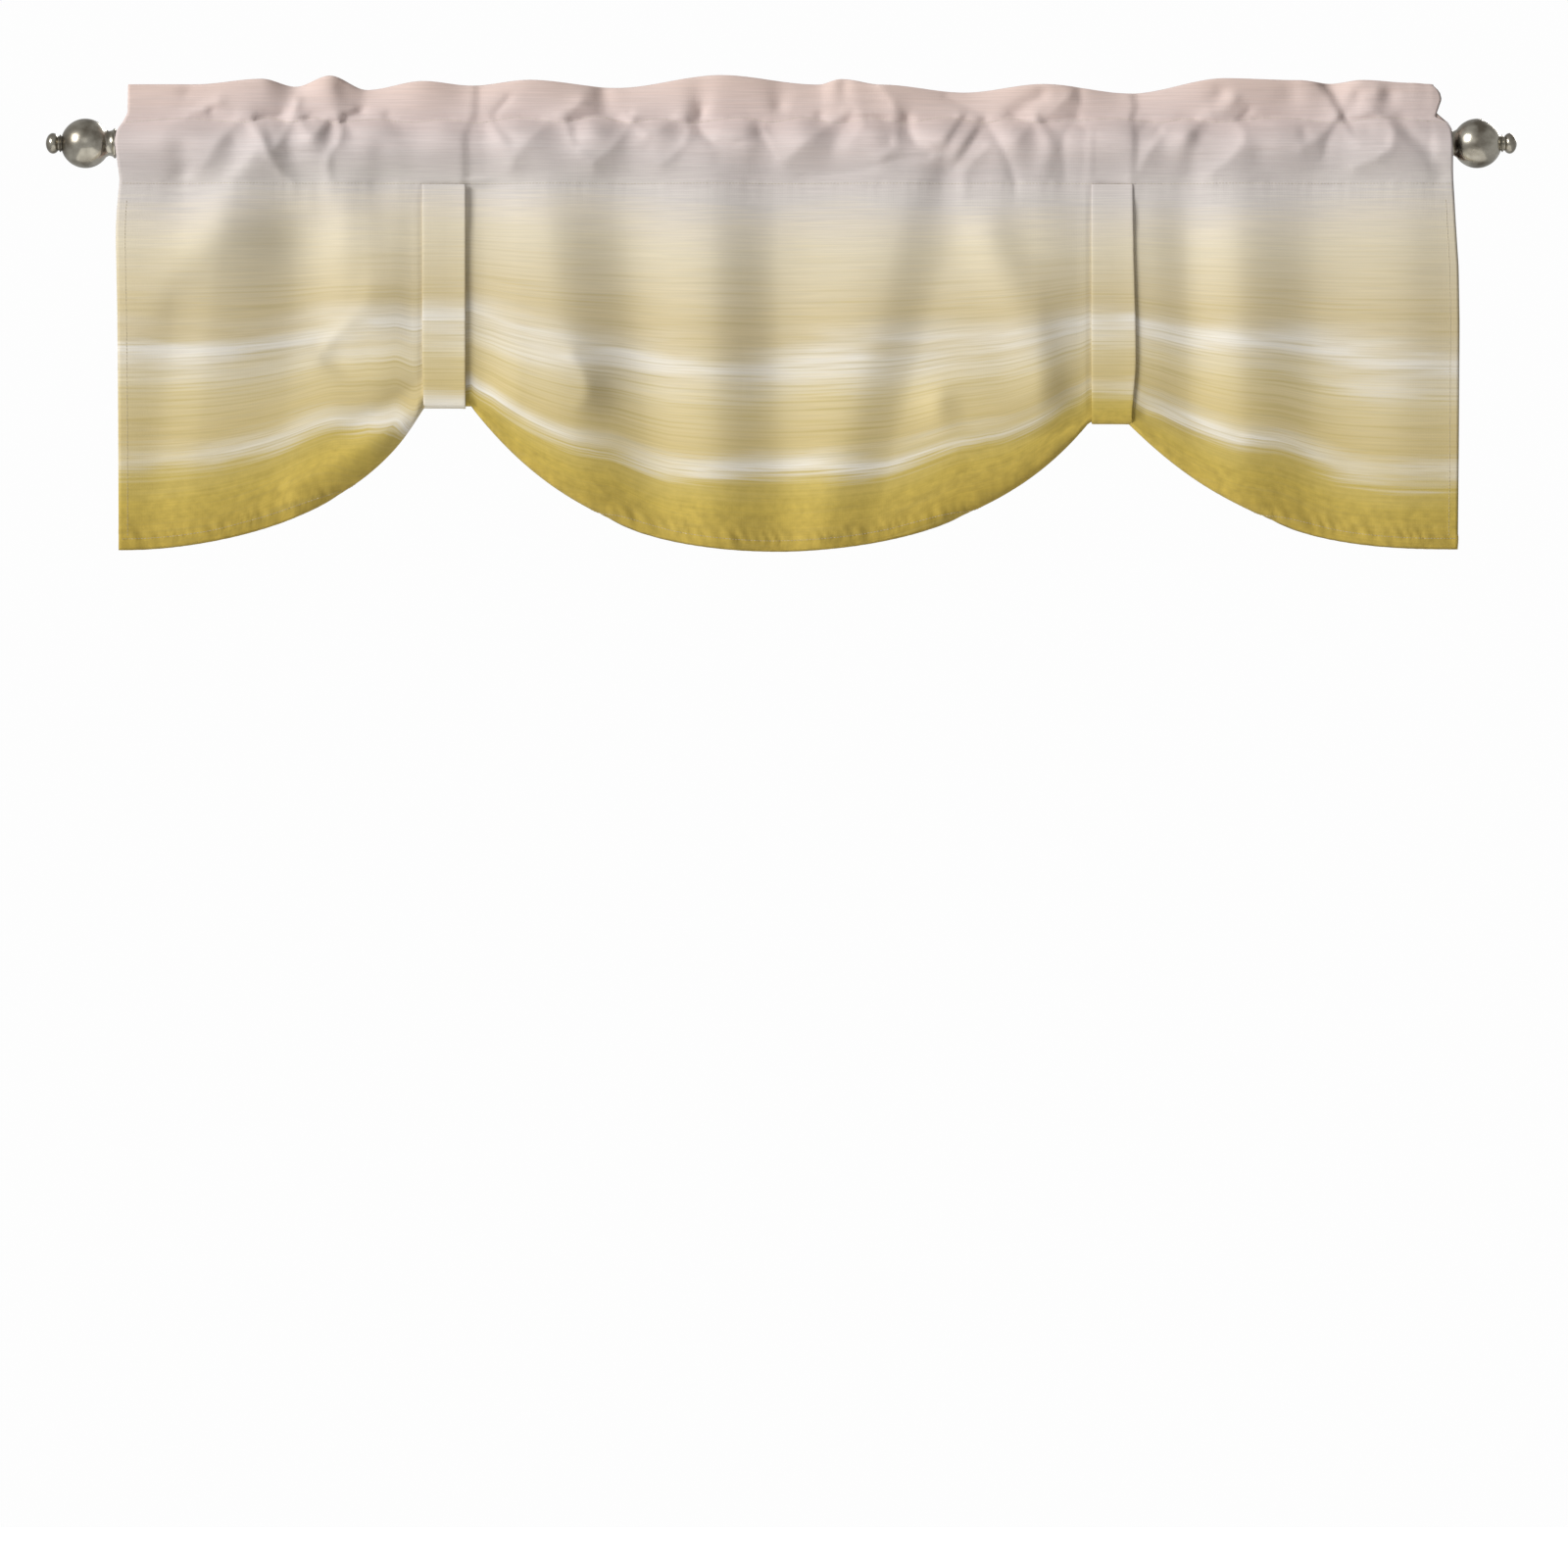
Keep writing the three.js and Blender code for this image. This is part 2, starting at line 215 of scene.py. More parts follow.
@dataclass(frozen=True)
class Strap:
    """Tie band: its node, middle and lowest point, and its edges at the seam, low down and at the bottom.

    Attributes:
        node: Name of the solid that it stands for.
        x: Middle of the band.
        low: Height of the cloth's edge inside it.
        left: Left edge at those three heights.
        right: Right edge at those three heights.
    """

    node: str
    x: float
    low: float
    left: tuple[float, float, float]
    right: tuple[float, float, float]


# The two bands, from left to right.
STRAPS = (
    Strap("tie_band_left", -327.0, -254.7, (-348.0, -348.0, -347.0), (-306.0, -306.0, -306.0)),
    Strap("tie_band_right", 321.5, -270.0, (300.5, 300.5, 301.0), (340.5, 344.0, 340.0)),
)

# The lower edge: each row from its lowest point to the band that lifts it.
SWAGS = (
    Swag(-646, -346, -391.2, 136.0, 2.08, 8.0, 24, 13, 0.84),
    Swag(-3, -300.5, -392.6, 137.4, 2.17, 4.25, 10, 8, 0.35),
    Swag(-3, 298.5, -392.6, 122.4, 1.98, 5.4, 12, 8, 0.2),
    Swag(658, 336, -390.4, 119.4, 2.68, 2.68, 9, 7, 0.3),
)

# The skirt's hanging folds, from left to right: crests, troughs and flat places.
FOLDS = (
    Fold(-646, -646, 2), Fold(-580, -615, -2), Fold(-536, -572, 3), Fold(-472, -487, -3),
    Fold(-417, -430, 3), Fold(-377, -382, 1.5), Fold(-327, -327, 0), Fold(-273, -278, -5),
    Fold(-224, -197, 7), Fold(-154, -124, -7), Fold(-69, -62, 8), Fold(-3, 2, -7),
    Fold(122, 40, 6), Fold(185, 90, -4), Fold(215, 205, 0), Fold(270, 280, -1),
    Fold(321, 321, 0), Fold(387, 397, -6), Fold(446, 452, 5.5), Fold(520, 520, -4.5),
    Fold(611, 599, 3.5), Fold(658, 658, 0),
)

# The header's top edge, from left to right.
RUFFLES = (
    Ruffle(-633, 57, 0), Ruffle(-567, 57, 1), Ruffle(-503, 62, 7), Ruffle(-471, 55, -6),
    Ruffle(-437, 65, 8), Ruffle(-402, 52, -7), Ruffle(-347, 60, 4), Ruffle(-300, 56, -4),
    Ruffle(-244, 61, 6), Ruffle(-159, 54, -7), Ruffle(-59, 65.5, 8), Ruffle(36, 57, -4),
    Ruffle(58, 62, 4), Ruffle(98, 56.5, 1), Ruffle(178, 49.5, -8), Ruffle(254, 57, 5),
    Ruffle(339, 48.5, -7), Ruffle(430, 62.5, 7), Ruffle(501, 61, 2), Ruffle(533, 58, -6),
    Ruffle(563, 61, 4), Ruffle(611, 58.5, 0), Ruffle(629, 57.5, -2), Ruffle(641, 54, -4),
)

# Pocket puffs (x, out) between the places where the gathering pinches the cloth to the rod.
PUFFS = (
    (-644, 1), (-580, 5), (-520, 1), (-498, 6), (-476, 1), (-453, 6), (-431, 0.5), (-394, 4), (-358, 1),
    (-327, 4), (-296, 0.5), (-255, 6), (-213, 1), (-180, 7), (-147, 0.5), (-120, 5), (-92, 0.5), (-37, 6),
    (-11, 1.2), (20, 6), (53, 0.5), (91, 5), (120, 0.5), (158, 6), (197, 0.5), (222, 5), (247, 1), (285, 3),
    (325, 5), (368, 0.5), (392, 5), (416, 1), (480, 6), (541, 0.5), (580, 6), (652, 1),
)

# How far each side edge lies inside the skirt's own edge, by height (z, inset).
LEFT_INSET = (
    (-400, 4), (-155, 3.2), (-85, 1.4), (-63, 2.4), (-35, 5), (3, 1), (13, 2.4), (31, 12.5), (60, 13),
)
RIGHT_INSET = (
    (-400, 2.5), (-300, 1.5), (-175, 0.7), (-121, 1.6), (-80, 4.3), (-27, 7.5), (15, 9), (22, 12), (25, 19),
    (27, 24), (46, 18), (52, 19.5), (55, 22), (57, 26),
)

# Slanting puffs and creases that the bands draw into the skirt.
DRAWS = (
    Crease(((-300, -236), (-196, -240)), 24, 8, fade=0),
    Crease(((294, -246), (160, -252)), 24, 8, fade=0),
    Crease(((356, -268), (440, -316)), 15, 6, fade=0.7),
    Crease(((-352, -205), (-425, -203)), 19, -5, fade=0),
    Crease(((-352, -262), (-401, -293), (-440, -318), (-470, -332)), 14, 5, fade=0),
    Crease(((-528, -51), (-546, -78), (-576, -112), (-606, -150)), 46, 22, PINCHED, 0.3, 0.75, 0.2),
    Crease(((-462, -60), (-450, -120), (-446, -200)), 42, -12, fade=0.2),
    Crease(((190, -58), (205, -100), (226, -140), (240, -180), (256, -226)), 22, 6, fade=0.2),
)

# Creases of the gathered header and pocket, from the left end of the rod to the right.
GATHERS = (
    Crease(((-545, 40), (-570, 29), (-598, 11)), 6, 3.8, PINCHED, lee=1.5),
    Crease(((-551, 31), (-550, 30)), 5, -2.6),
    Crease(((-574, 50), (-570, 44)), 10, -2),
    Crease(((-580, -8), (-576, -46)), 12, -3, fade=0.3),
    Crease(((-523, 23), (-535, 12), (-545, 0), (-553, -14), (-572, -34)), 8, 4.6, PINCHED, lee=1.3),
    Crease(((-530, 0), (-538, -18)), 9, -2.6),
    Crease(((-514, 23), (-503, 3), (-494, -15), (-485, -29), (-470, -40), (-457, -46)), 5, 4.2, PINCHED, 0.3),
    Crease(((-511, -12), (-528, -30), (-545, -50)), 9, 3.6, PINCHED, 0.3, 1.6),
    Crease(((-484, 28), (-499, 20), (-494, 5)), 5, -3.6, PINCHED, 0.3),
    Crease(((-469, 41), (-472, 29), (-477, 16), (-484, 3), (-490, -9)), 5, 4.4, PINCHED, 0.3, 1.3),
    Crease(((-468, 24), (-462, 14), (-455, 5)), 4, 3.2, PINCHED),
    Crease(((-441, 19), (-448, 10), (-455, 5)), 4, 3.2, PINCHED),
    Crease(((-457, 23), (-455, 17)), 4.5, -2.2),
    Crease(((-436, 16), (-440, -2)), 6, -2.5),
    Crease(((-490, -10), (-439, -10)), 4, -2.2, PINCHED, 0.2),
    Crease(((-429, 23), (-426, 11), (-429, -1), (-437, -10), (-440, -23), (-436, -46)), 5, 4.4, PINCHED, 0.4),
    Crease(((-407, 31), (-422, 27), (-424, 19), (-415, 8)), 5, -4, PINCHED, 0.4),
    Crease(((-416, 32), (-429, 29), (-441, 22)), 4, 3, PINCHED),
    Crease(((-388, -8), (-388, -34)), 12, -2),
    Crease(((-425, 54), (-417, 37)), 8, -3),
    Crease(((-381, 27), (-368, 13)), 5, -2),
    Crease(((-296, 53), (-297, 29), (-302, 17), (-306, 7), (-306, -70)), 2.5, 1.2, Profile.STEP, 0),
    Crease(((-286, 18), (-284, -14)), 8, -3),
    Crease(((-283, 22), (-275, 9), (-266, -6), (-260, -22)), 6, 3, PINCHED),
    Crease(((-264, 44), (-279, 27), (-273, 15), (-260, 2)), 4, -2.5, PINCHED, 0.3),
    Crease(
        ((-194, 40), (-205, 31), (-225, 20), (-240, 6), (-253, -7), (-262, -23)),
        8, 4.5, PINCHED, 0.3, 1.5,
    ),
    Crease(((-211, 22), (-202, 3), (-192, -12), (-181, -20)), 5, 3, PINCHED, 0.3),
    Crease(((-158, 25), (-184, 23), (-197, 18), (-201, 9), (-197, -3)), 5, -3.4, PINCHED, 0.2),
    Crease(((-184, 12), (-164, 9)), 9, 2.2),
    Crease(((-144, 23), (-151, 11), (-159, 0), (-171, -12), (-182, -20)), 6, 3.6, PINCHED, 0.4, 1.8),
    Crease(((-173, 50), (-171, 34)), 9, -4, fade=0.2),
    Crease(((-144, 23), (-137, 15), (-130, 8)), 4.5, 2.5, PINCHED, 0.2),
    Crease(((-100, 24), (-117, 14), (-130, 8)), 4.5, 2.5, PINCHED, 0.2),
    Crease(((-147, 29), (-138, 20), (-131, 14)), 3.5, -2, PINCHED),
    Crease(((-126, -2), (-104, -8)), 11, -3, fade=0.2),
    Crease(((-94, 25), (-89, 11), (-94, -2), (-107, -15), (-116, -19)), 6, 3.4, PINCHED, 0.3),
    Crease(((-77, 31), (-80, 18), (-76, 8), (-66, 0), (-46, -1), (-23, 5)), 5, -4.6, PINCHED, 0.3),
    Crease(((-56, 14), (-28, 12)), 11, 3, fade=0.2),
    Crease(((-58, -12), (-26, -14)), 10, -2, fade=0.2),
    Crease(((-23, 18), (-15, 3), (-6, -13)), 4.5, -2.8, PINCHED),
    Crease(((-17, 14), (-9, -2), (0, -15)), 4, 2, PINCHED),
    Crease(((-79, 38), (-79, 58)), 9, -4),
    Crease(((-2, 37), (-2, 55)), 8, -3.3),
    Crease(((62, 29), (41, 13), (23, 0), (6, -16)), 7, 4.2, PINCHED, 0.3, 1.6),
    Crease(((38, 26), (38, 22)), 5, -2.4),
    Crease(((66, 22), (56, 9), (50, -7)), 5, -2.2, PINCHED, edge=0.5),
    Crease(((80, 18), (72, 8), (65, -4)), 4.5, 1.8, PINCHED, edge=0.4),
    Crease(((80, 18), (98, 14)), 10, 2.4),
    Crease(((104, -1), (86, -5)), 8, -2.6),
    Crease(((76, 30), (106, 29), (112, 14), (110, -4), (97, -15)), 5.5, 3.2, PINCHED, 0.4),
    Crease(((97, 54), (107, 42), (113, 27)), 6, 2.8, PINCHED, 0, 2),
    Crease(((60, 57), (60, 32)), 7, -3.2),
    Crease(((122, 25), (124, 11), (130, -1), (143, -8), (156, -8)), 5, -3.6, PINCHED, 0.3),
    Crease(((134, 15), (149, 9)), 9, 2.4),
    Crease(((173, 26), (163, 11), (157, 4)), 4.5, 3, PINCHED, 0.3),
    Crease(((177, 23), (168, 10), (162, -3)), 4.5, -3, PINCHED, 0.3),
    Crease(((188, 19), (176, 0), (168, -13)), 4.5, 2.8, PINCHED, 0.3),
    Crease(((193, 11), (179, -7), (168, -22)), 4.5, -3, PINCHED, 0.3),
    Crease(((200, -4), (184, -20), (177, -30), (177, -46)), 6, 3, PINCHED, 0.4, 2),
    Crease(((143, -13), (107, -17), (84, -25), (56, -29), (20, -31)), 3.5, -1.8, PINCHED, 0.4),
    Crease(((158, -20), (158, -46)), 9, -2),
    Crease(((197, 22), (204, 11), (214, -5), (222, -22), (227, -40)), 5, -3.4, PINCHED, 0.2),
    Crease(((225, 22), (209, 9)), 3.5, -2, PINCHED),
    Crease(((160, 46), (181, 36), (196, 27)), 4, -1.6, PINCHED),
    Crease(((245, 24), (236, 12), (228, 3)), 5, 3.2, PINCHED, 0.3, 2),
    Crease(((250, 21), (257, 8), (260, -5), (255, -24)), 6, 3),
    Crease(((252, 24), (262, 12)), 4, -2.4, PINCHED),
    Crease(((284, 20), (274, 8), (273, -6), (275, -38)), 6, -3, PINCHED, 0.4),
    Crease(((288, 22), (298, 8)), 3.5, -2.2, PINCHED),
    Crease(((252, 46), (238, 38), (226, 29)), 7, -3.2, fade=0.2),
    Crease(((278, 45), (260, 29)), 5, 2.4, PINCHED),
    Crease(((289, 52), (291, 41), (286, 29)), 4.5, -2.5, PINCHED),
    Crease(((299, 11), (299, -57)), 2.5, 1),
    Crease(((341, 46), (343, 36), (340, 26), (342, 8), (341, -70)), 2.5, 1.2, Profile.STEP, 0),
    Crease(((356, 19), (348, 11)), 4, -2.4, PINCHED),
    Crease(((365, 12), (364, 9)), 4, -1.6),
    Crease(((373, 12), (365, 3), (355, -10), (346, -28), (342, -44)), 6, 3.4, PINCHED, 0.3, 1.6),
    Crease(((407, 23), (400, 15), (390, 6)), 5, 3.2, PINCHED, 0.3, 1.8),
    Crease(((404, 4), (398, -8), (398, -30)), 8, -2.6, fade=0.3),
    Crease(((416, 25), (439, 20), (448, 12), (447, -2), (434, -17), (416, -30)), 6.5, 3.8, PINCHED, 0.3, 1.6),
    Crease(((438, 42), (419, 28)), 6, 2),
    Crease(((425, 47), (414, 35)), 8, -3),
    Crease(((453, 31), (447, 25), (454, 19), (470, 17)), 4, -2.5, PINCHED),
    Crease(((494, 44), (492, 33)), 14, -2.6),
    Crease(((506, 11), (508, 0)), 5, -1.8),
    Crease(((464, -12), (470, -28)), 13, -2.4),
    Crease(((541, 28), (528, 12), (515, 2), (504, -5)), 6, 3.6, PINCHED, 0.3),
    Crease(((544, 26), (533, 11), (528, -1), (526, -12)), 5, -3.2, PINCHED, 0.4),
    Crease(((523, 58), (533, 47), (541, 30)), 3, 2.5, Profile.STEP, 0),
    Crease(((559, 47), (553, 28)), 6, -3),
    Crease(((545, 22), (550, 9), (560, -2)), 4, 2.2, PINCHED),
    Crease(((549, 22), (555, 8)), 4, -2, PINCHED),
    Crease(((570, 11), (584, 6)), 9, -2.6, fade=0.2),
    Crease(
        ((552, 27), (572, 30), (587, 24), (592, 11), (590, -5), (577, -15), (556, -23)),
        5.5, 3.6, PINCHED, 0.3,
    ),
    Crease(((601, 20), (609, 7), (621, -3), (634, -16), (638, -30)), 7, -3, fade=0.3),
    Crease(((590, 46), (587, 34)), 8, -3),
    Crease(((577, 50), (575, 36)), 6, 1.5),
)

# Finer creases of the skirt: beside the bands, round their puffs, and down its long folds.
HANGS = (
    Crease(((-288, -44), (-288, -240)), 20, -4, fade=0),
    Crease(((390, -84), (390, -250)), 34, -6, fade=0),
    Crease(((-390, -42), (-386, -180)), 16, -2.5),
    Crease(((-347.8, -44), (-347.8, -245)), 3, -1.3, fade=0),
    Crease(((300.6, -44), (300.6, -258)), 3, -1.3, fade=0),
    Crease(((-580, -30), (-597, -54)), 9, -2),
    Crease(((-513, -26), (-528, -51), (-546, -78), (-576, -112)), 13, 6, fade=0.8, lee=2.4),
    Crease(((-424, -44), (-424, -172)), 12, 1.5),
    Crease(((-400, -150), (-413, -167), (-430, -184), (-448, -203)), 7, 3, PINCHED, 0, 2.5),
    Crease(((-448, -203), (-420, -222), (-385, -231), (-350, -241)), 7, -3, PINCHED, 0.3, 2),
    Crease(((-348, -252), (-370, -272), (-401, -292), (-440, -318), (-475, -334)), 8, 6, PINCHED, 0.6, 2.2),
    Crease(((-354, -236), (-388, -258), (-420, -280), (-450, -300)), 9, -2.5),
    Crease(((-298, -253), (-254, -267)), 5, -3),
    Crease(
        ((-203, -205), (-193, -221), (-186, -236), (-188, -248), (-202, -259), (-230, -262)),
        8, 3, PINCHED, 0.3, 2.5,
    ),
    Crease(
        ((150, -255), (154, -245), (163, -236), (178, -230), (222, -227)),
        12, 1.8, PINCHED, 0.5, 0.8, 0.4,
    ),
    Crease(((150, -255), (154, -267), (164, -278), (184, -286)), 11, 1.4, PINCHED, 0.8, 1.2, 0.5),
    Crease(((180, -257), (240, -248)), 20, -2.4, fade=0.6),
    Crease(((296, -271), (244, -284), (202, -297), (184, -307)), 7, -3),
    Crease(((352, -262), (440, -282)), 6, -2.5),
    Crease(((158, -36), (118, -150)), 18, -2.6, fade=0.8),
)


@dataclass(frozen=True)
class Turn:
    """Turned-under lower edge, by column of the cloth.

    Attributes:
        rise: How far the edge is lifted above the free hem.
        length: Cloth past the start of the turn.
        arc: Part of it on the round.
        bend: Angle of the round.
        roll: Half height of the round.
        deep: Half depth of the round.
        start: Height at which the turn starts.
        shown: Cloth from the seam to the start of the turn, by its print.
    """

    rise: Array
    length: Array
    arc: Array
    bend: Array
    roll: Array
    deep: Array
    start: Array
    shown: Array


@dataclass(frozen=True)
class HangingCloth:
    """True hanging shape of the valance panel: where each point of the cloth lies.

    Attributes:
        left: Left edge of the skirt.
        right: Right edge of the skirt.
        seam_z: Seam that closes the rod pocket below.
        pinch_z: Seam between the pocket and the header.
        print_top: Height of the header at which the print starts.
        full_drop: Cloth from the pocket seam to the hem, laid flat.
        base_y: Middle of the cloth where it hangs flat.
        layer: Distance between two layers sewn together.
        hem_stitch: Distance of the hem's stitching from its fold.
        belly: Forward billow beside the bands.
        full_rise: Lift of the edge from which the billow is full.
        fold_top: Share of a fold's height at the seam.
        fold_full: Way down at which it has its full height.
        fold_loss: Share of it that is lost again at the hem.
        draw_full: Way down at which the creases that the bands draw are full.
        hold: Half width that a band holds flat.
        band_flat: Distances from a band's middle at which ridges start and are whole again.
        band_top: Heights about the seam between which a band starts to press them flat.
        fold_free: Distance from a band at which the folds hang free.
        roll_free: Distance from a band at which the turned-under edge is full.
        roll_tied: Radius of that edge inside a band.
        late_share: Share of the edge's rise that comes late, beside the band.
        round_full: Cloth for a whole turn, as a multiple of the half round.
        hem_min: Cloth past the start of the turn where nothing is turned under.
        hem_bend: Angle that it bends there.
        turn_slack: Part of the lift that goes into the billow.
        seam_lead: How far the pocket's lower seam stands forward.
        lead_reach: How far below the seam that dies away.
        rod_clear: Radius round the rod that the pocket leaves free.
        collar_x: Place from which the pocket runs over a finial's collar.
        collar_run: Length over which it widens for that.
        collar_extra: Extra room there.
        contact: Softness of the cloth's contact with the rod.
        pocket_depth: Depth of the pocket before its puffs.
        pocket_skew: How far above its middle the pocket is deepest.
        back_puff: Share of the puffs at the back of the pocket.
        back_sewn: Way from the middle of that layer at which the seams start to crease it.
        header_top: Height of the header's top edge, for the side edges.
        header_part: Share by which the header's layers part towards the top.
        edge_reach: How far the side edges' insets spread into the cloth.
        pinch_wave: Rise of the pinch over a puff, for each millimetre that the puff stands out.
        mean_puff: Puff over which the pinch has its own height.
        pucker: Depth of the puckers along a seam.
        pucker_reach: Half width of the puckered strip.
        pucker_even: Share of that depth which is even.
        pucker_pitch: Spacing of the puckers.
        pucker_drift: How far their spacing drifts, and how fast.
        pucker_swell: Share by which their depth varies, and how fast.
        hem_pucker: Depth of the puckers along the hem.
        hem_reach: Half width of the strip that they take up.
        hem_slant: How far they lean, for each millimetre of height.
    """

    left: float = -646.0
    right: float = 658.0
    seam_z: float = -39.0
    pinch_z: float = 22.0
    print_top: float = 60.0
    full_drop: float = 355.0
    base_y: float = -0.75
    layer: float = 1.0
    hem_stitch: float = 10.0
    belly: float = 11.0
    full_rise: float = 120.0
    fold_top: float = 0.6
    fold_full: float = 0.25
    fold_loss: float = 0.3
    draw_full: float = 0.2
    hold: float = 26.0
    band_flat: tuple[float, float] = (19.0, 24.0)
    band_top: tuple[float, float] = (3.0, -5.0)
    fold_free: float = 76.0
    roll_free: float = 50.0
    roll_tied: float = 4.5
    late_share: float = 0.3
    round_full: float = 1.4
    hem_min: float = 6.0
    hem_bend: float = 0.05
    turn_slack: float = 12.0
    seam_lead: float = 3.5
    lead_reach: float = 55.0
    rod_clear: float = 12.95
    collar_x: float = 637.0
    collar_run: float = 17.0
    collar_extra: float = 4.0
    contact: float = 1.2
    pocket_depth: float = 14.6
    pocket_skew: float = 1.55
    back_puff: float = 0.45
    back_sewn: float = 0.25
    header_top: float = 57.0
    header_part: float = 0.3
    edge_reach: float = 70.0
    pinch_wave: float = 0.9
    mean_puff: float = 3.0
    pucker: float = 0.8
    pucker_reach: float = 3.0
    pucker_even: float = 0.6
    pucker_pitch: float = 12.0
    pucker_drift: tuple[float, float] = (2.1, 0.17)
    pucker_swell: tuple[float, float] = (0.3, 0.29)
    hem_pucker: float = 1.3
    hem_reach: float = 9.0
    hem_slant: float = 0.5

    def grip(self, x: Array, hold: float, free: float) -> Array:
        """How firmly a band holds the cloth at x: 1 within `hold` of its middle, 0 from `free` on."""
        return np.max([1.0 - smoothstep(hold, free, np.abs(x - s.x)) for s in STRAPS], axis=0)

    def across(self, x: Array, z: Array) -> Array:
        """Place along the rod of a column of the cloth, which draws in at its side edges.

        Args:
            x: Place of the column at the hem.
            z: Height of the point.

        Returns:
            Its place at that height.
        """
        from_left = np.interp(z, *zip(*LEFT_INSET)) * np.exp((self.left - x) / self.edge_reach)
        from_right = np.interp(z, *zip(*RIGHT_INSET)) * np.exp((x - self.right) / self.edge_reach)
        return x + from_left - from_right

    def puff(self, x: Array) -> Array:
        """How far the pocket puffs out at x."""
        return eased(x, *zip(*PUFFS))

    def pinch(self, x: Array) -> Array:
        """Height of the pinched seam, which the puffs below push up and the gathers draw down."""
        return self.pinch_z + self.pinch_wave * (self.puff(x) - self.mean_puff)

    def ripple(self, x: Array) -> Array:
        """Uneven wave along a seam, from -1 to 1.

        Args:
            x: Places across the cloth.

        Returns:
            The wave there.
        """
        along = 2.0 * math.pi / self.pucker_pitch * x
        drift, slow = self.pucker_drift
        swell, slower = self.pucker_swell
        return np.sin(along + drift * np.sin(slow * along)) * (1.0 - swell + swell * np.sin(slower * along))

    def creased(self, x: Array, z: Array) -> Array:
        """Height of all the fine creases and puckers at points of the front.

        Args:
            x: Places across the cloth.
            z: Heights.

        Returns:
            How far they lift the cloth.
        """
        above, below = self.band_top
        under_band = self.grip(x, *self.band_flat) * smoothstep(self.seam_z + above, self.seam_z + below, z)
        folds = sum(c.height(x, z) for c in (*GATHERS, *HANGS))
        seams = (self.seam_z, self.pinch(x))
        sewn = sum(np.exp(-(((z - at) / self.pucker_reach) ** 2)) for at in seams)
        even = self.pucker_even
        folds = folds - self.pucker * sewn * (even + (1.0 - even) * self.ripple(x))
        return folds - under_band * np.maximum(folds, 0.0)

    def turn(self, x: Array) -> Turn:
        """Shape of the lower edge at each column: part of an ellipse, then a straight flap.

        Args:
            x: Places across the cloth.

        Returns:
            The shape, with one entry a column.
        """
        nearest = np.argmin([np.abs(x - s.x) for s in STRAPS], axis=0)
        edge = np.choose(nearest, [s.low for s in STRAPS])
        high, wide = np.full(x.shape, self.roll_tied), np.full(x.shape, self.roll_tied)
        tied = self.grip(x, self.hold, self.roll_free)
        for s in SWAGS:
            u = (x - s.low) / (s.lift - s.low)
            inside, u = (u >= 0.0) & (u <= 1.0), np.clip(u, 0.0, 1.0)
            early, late = (1.0 - self.late_share) * u**s.bow, self.late_share * u**s.late
            curve = s.foot + s.rise * (early + late)
            edge = np.where(inside, curve, edge)
            high = np.where(inside, s.roll + (self.roll_tied - s.roll) * tied, high)
            wide = np.where(inside, s.deep + (self.roll_tied - s.deep) * tied, wide)
        rise = np.maximum(0.0, self.full_drop - (self.seam_z - edge))
        length = np.maximum(self.hem_min, rise * rise / (rise + self.turn_slack))
        half = math.pi * np.hypot(high, wide) / math.sqrt(2.0)
        arc = np.minimum(length - self.hem_min / 2.0, half)
        whole = self.round_full * half + self.hem_min / 2.0
        bend = np.maximum(self.hem_bend, math.pi * smoothstep(self.hem_min, whole, length))
        scale = arc * math.pi / (half * bend)
        start = edge + high * scale * np.sin(np.minimum(bend, math.pi / 2.0))
        hidden = eased(x, [s.lift for s in SWAGS], [s.hidden for s in SWAGS])
        shown = self.full_drop - self.hem_min - hidden * (length - self.hem_min)
        return Turn(rise, length, arc, bend, high * scale, wide * scale, start, shown)

    def hang(self, x: Array, z: Array, turn: Turn) -> Array:
        """Depth of the skirt's front, without its fine creases, at height z of each column.

        Args:
            x: Places across the cloth.
            z: Heights.
            turn: Shape of the lower edge at each column.

        Returns:
            Places from front to back.
        """
        q = (self.seam_z - z) / (self.seam_z - turn.start)
        free = 1.0 - self.grip(x, self.hold, self.fold_free)
        fold = eased(x, [f.top + (f.foot - f.top) * q for f in FOLDS], [f.out for f in FOLDS])
        swell = self.fold_top + (1.0 - self.fold_top) * smoothstep(0.0, self.fold_full, q)
        swell = swell - self.fold_loss * smoothstep(0.5, 1.0, q)
        billow = self.belly * np.minimum(1.0, turn.rise / self.full_rise) * np.sin(math.pi * q)
        drawn = sum(d.height(x, z) for d in DRAWS) * smoothstep(0.0, self.draw_full, q)
        lead = self.seam_lead * np.exp(-(((self.seam_z - z) / self.lead_reach) ** 2))
        return self.base_y - free * (fold * swell + billow + drawn + lead)

    def printed(self, z: Array, turn: Turn) -> Array:
        """How far down the print the skirt's front is at height z: more of it gathers in low down.

        Args:
            z: Heights.
            turn: Shape of the lower edge at each column.

        Returns:
            Distances down the flat cloth.
        """
        drop = self.seam_z - turn.start
        fallen = np.clip(self.seam_z - z, 0.0, drop)
        return self.print_top - self.seam_z + fallen + (turn.shown - drop) * (fallen / drop) ** 2

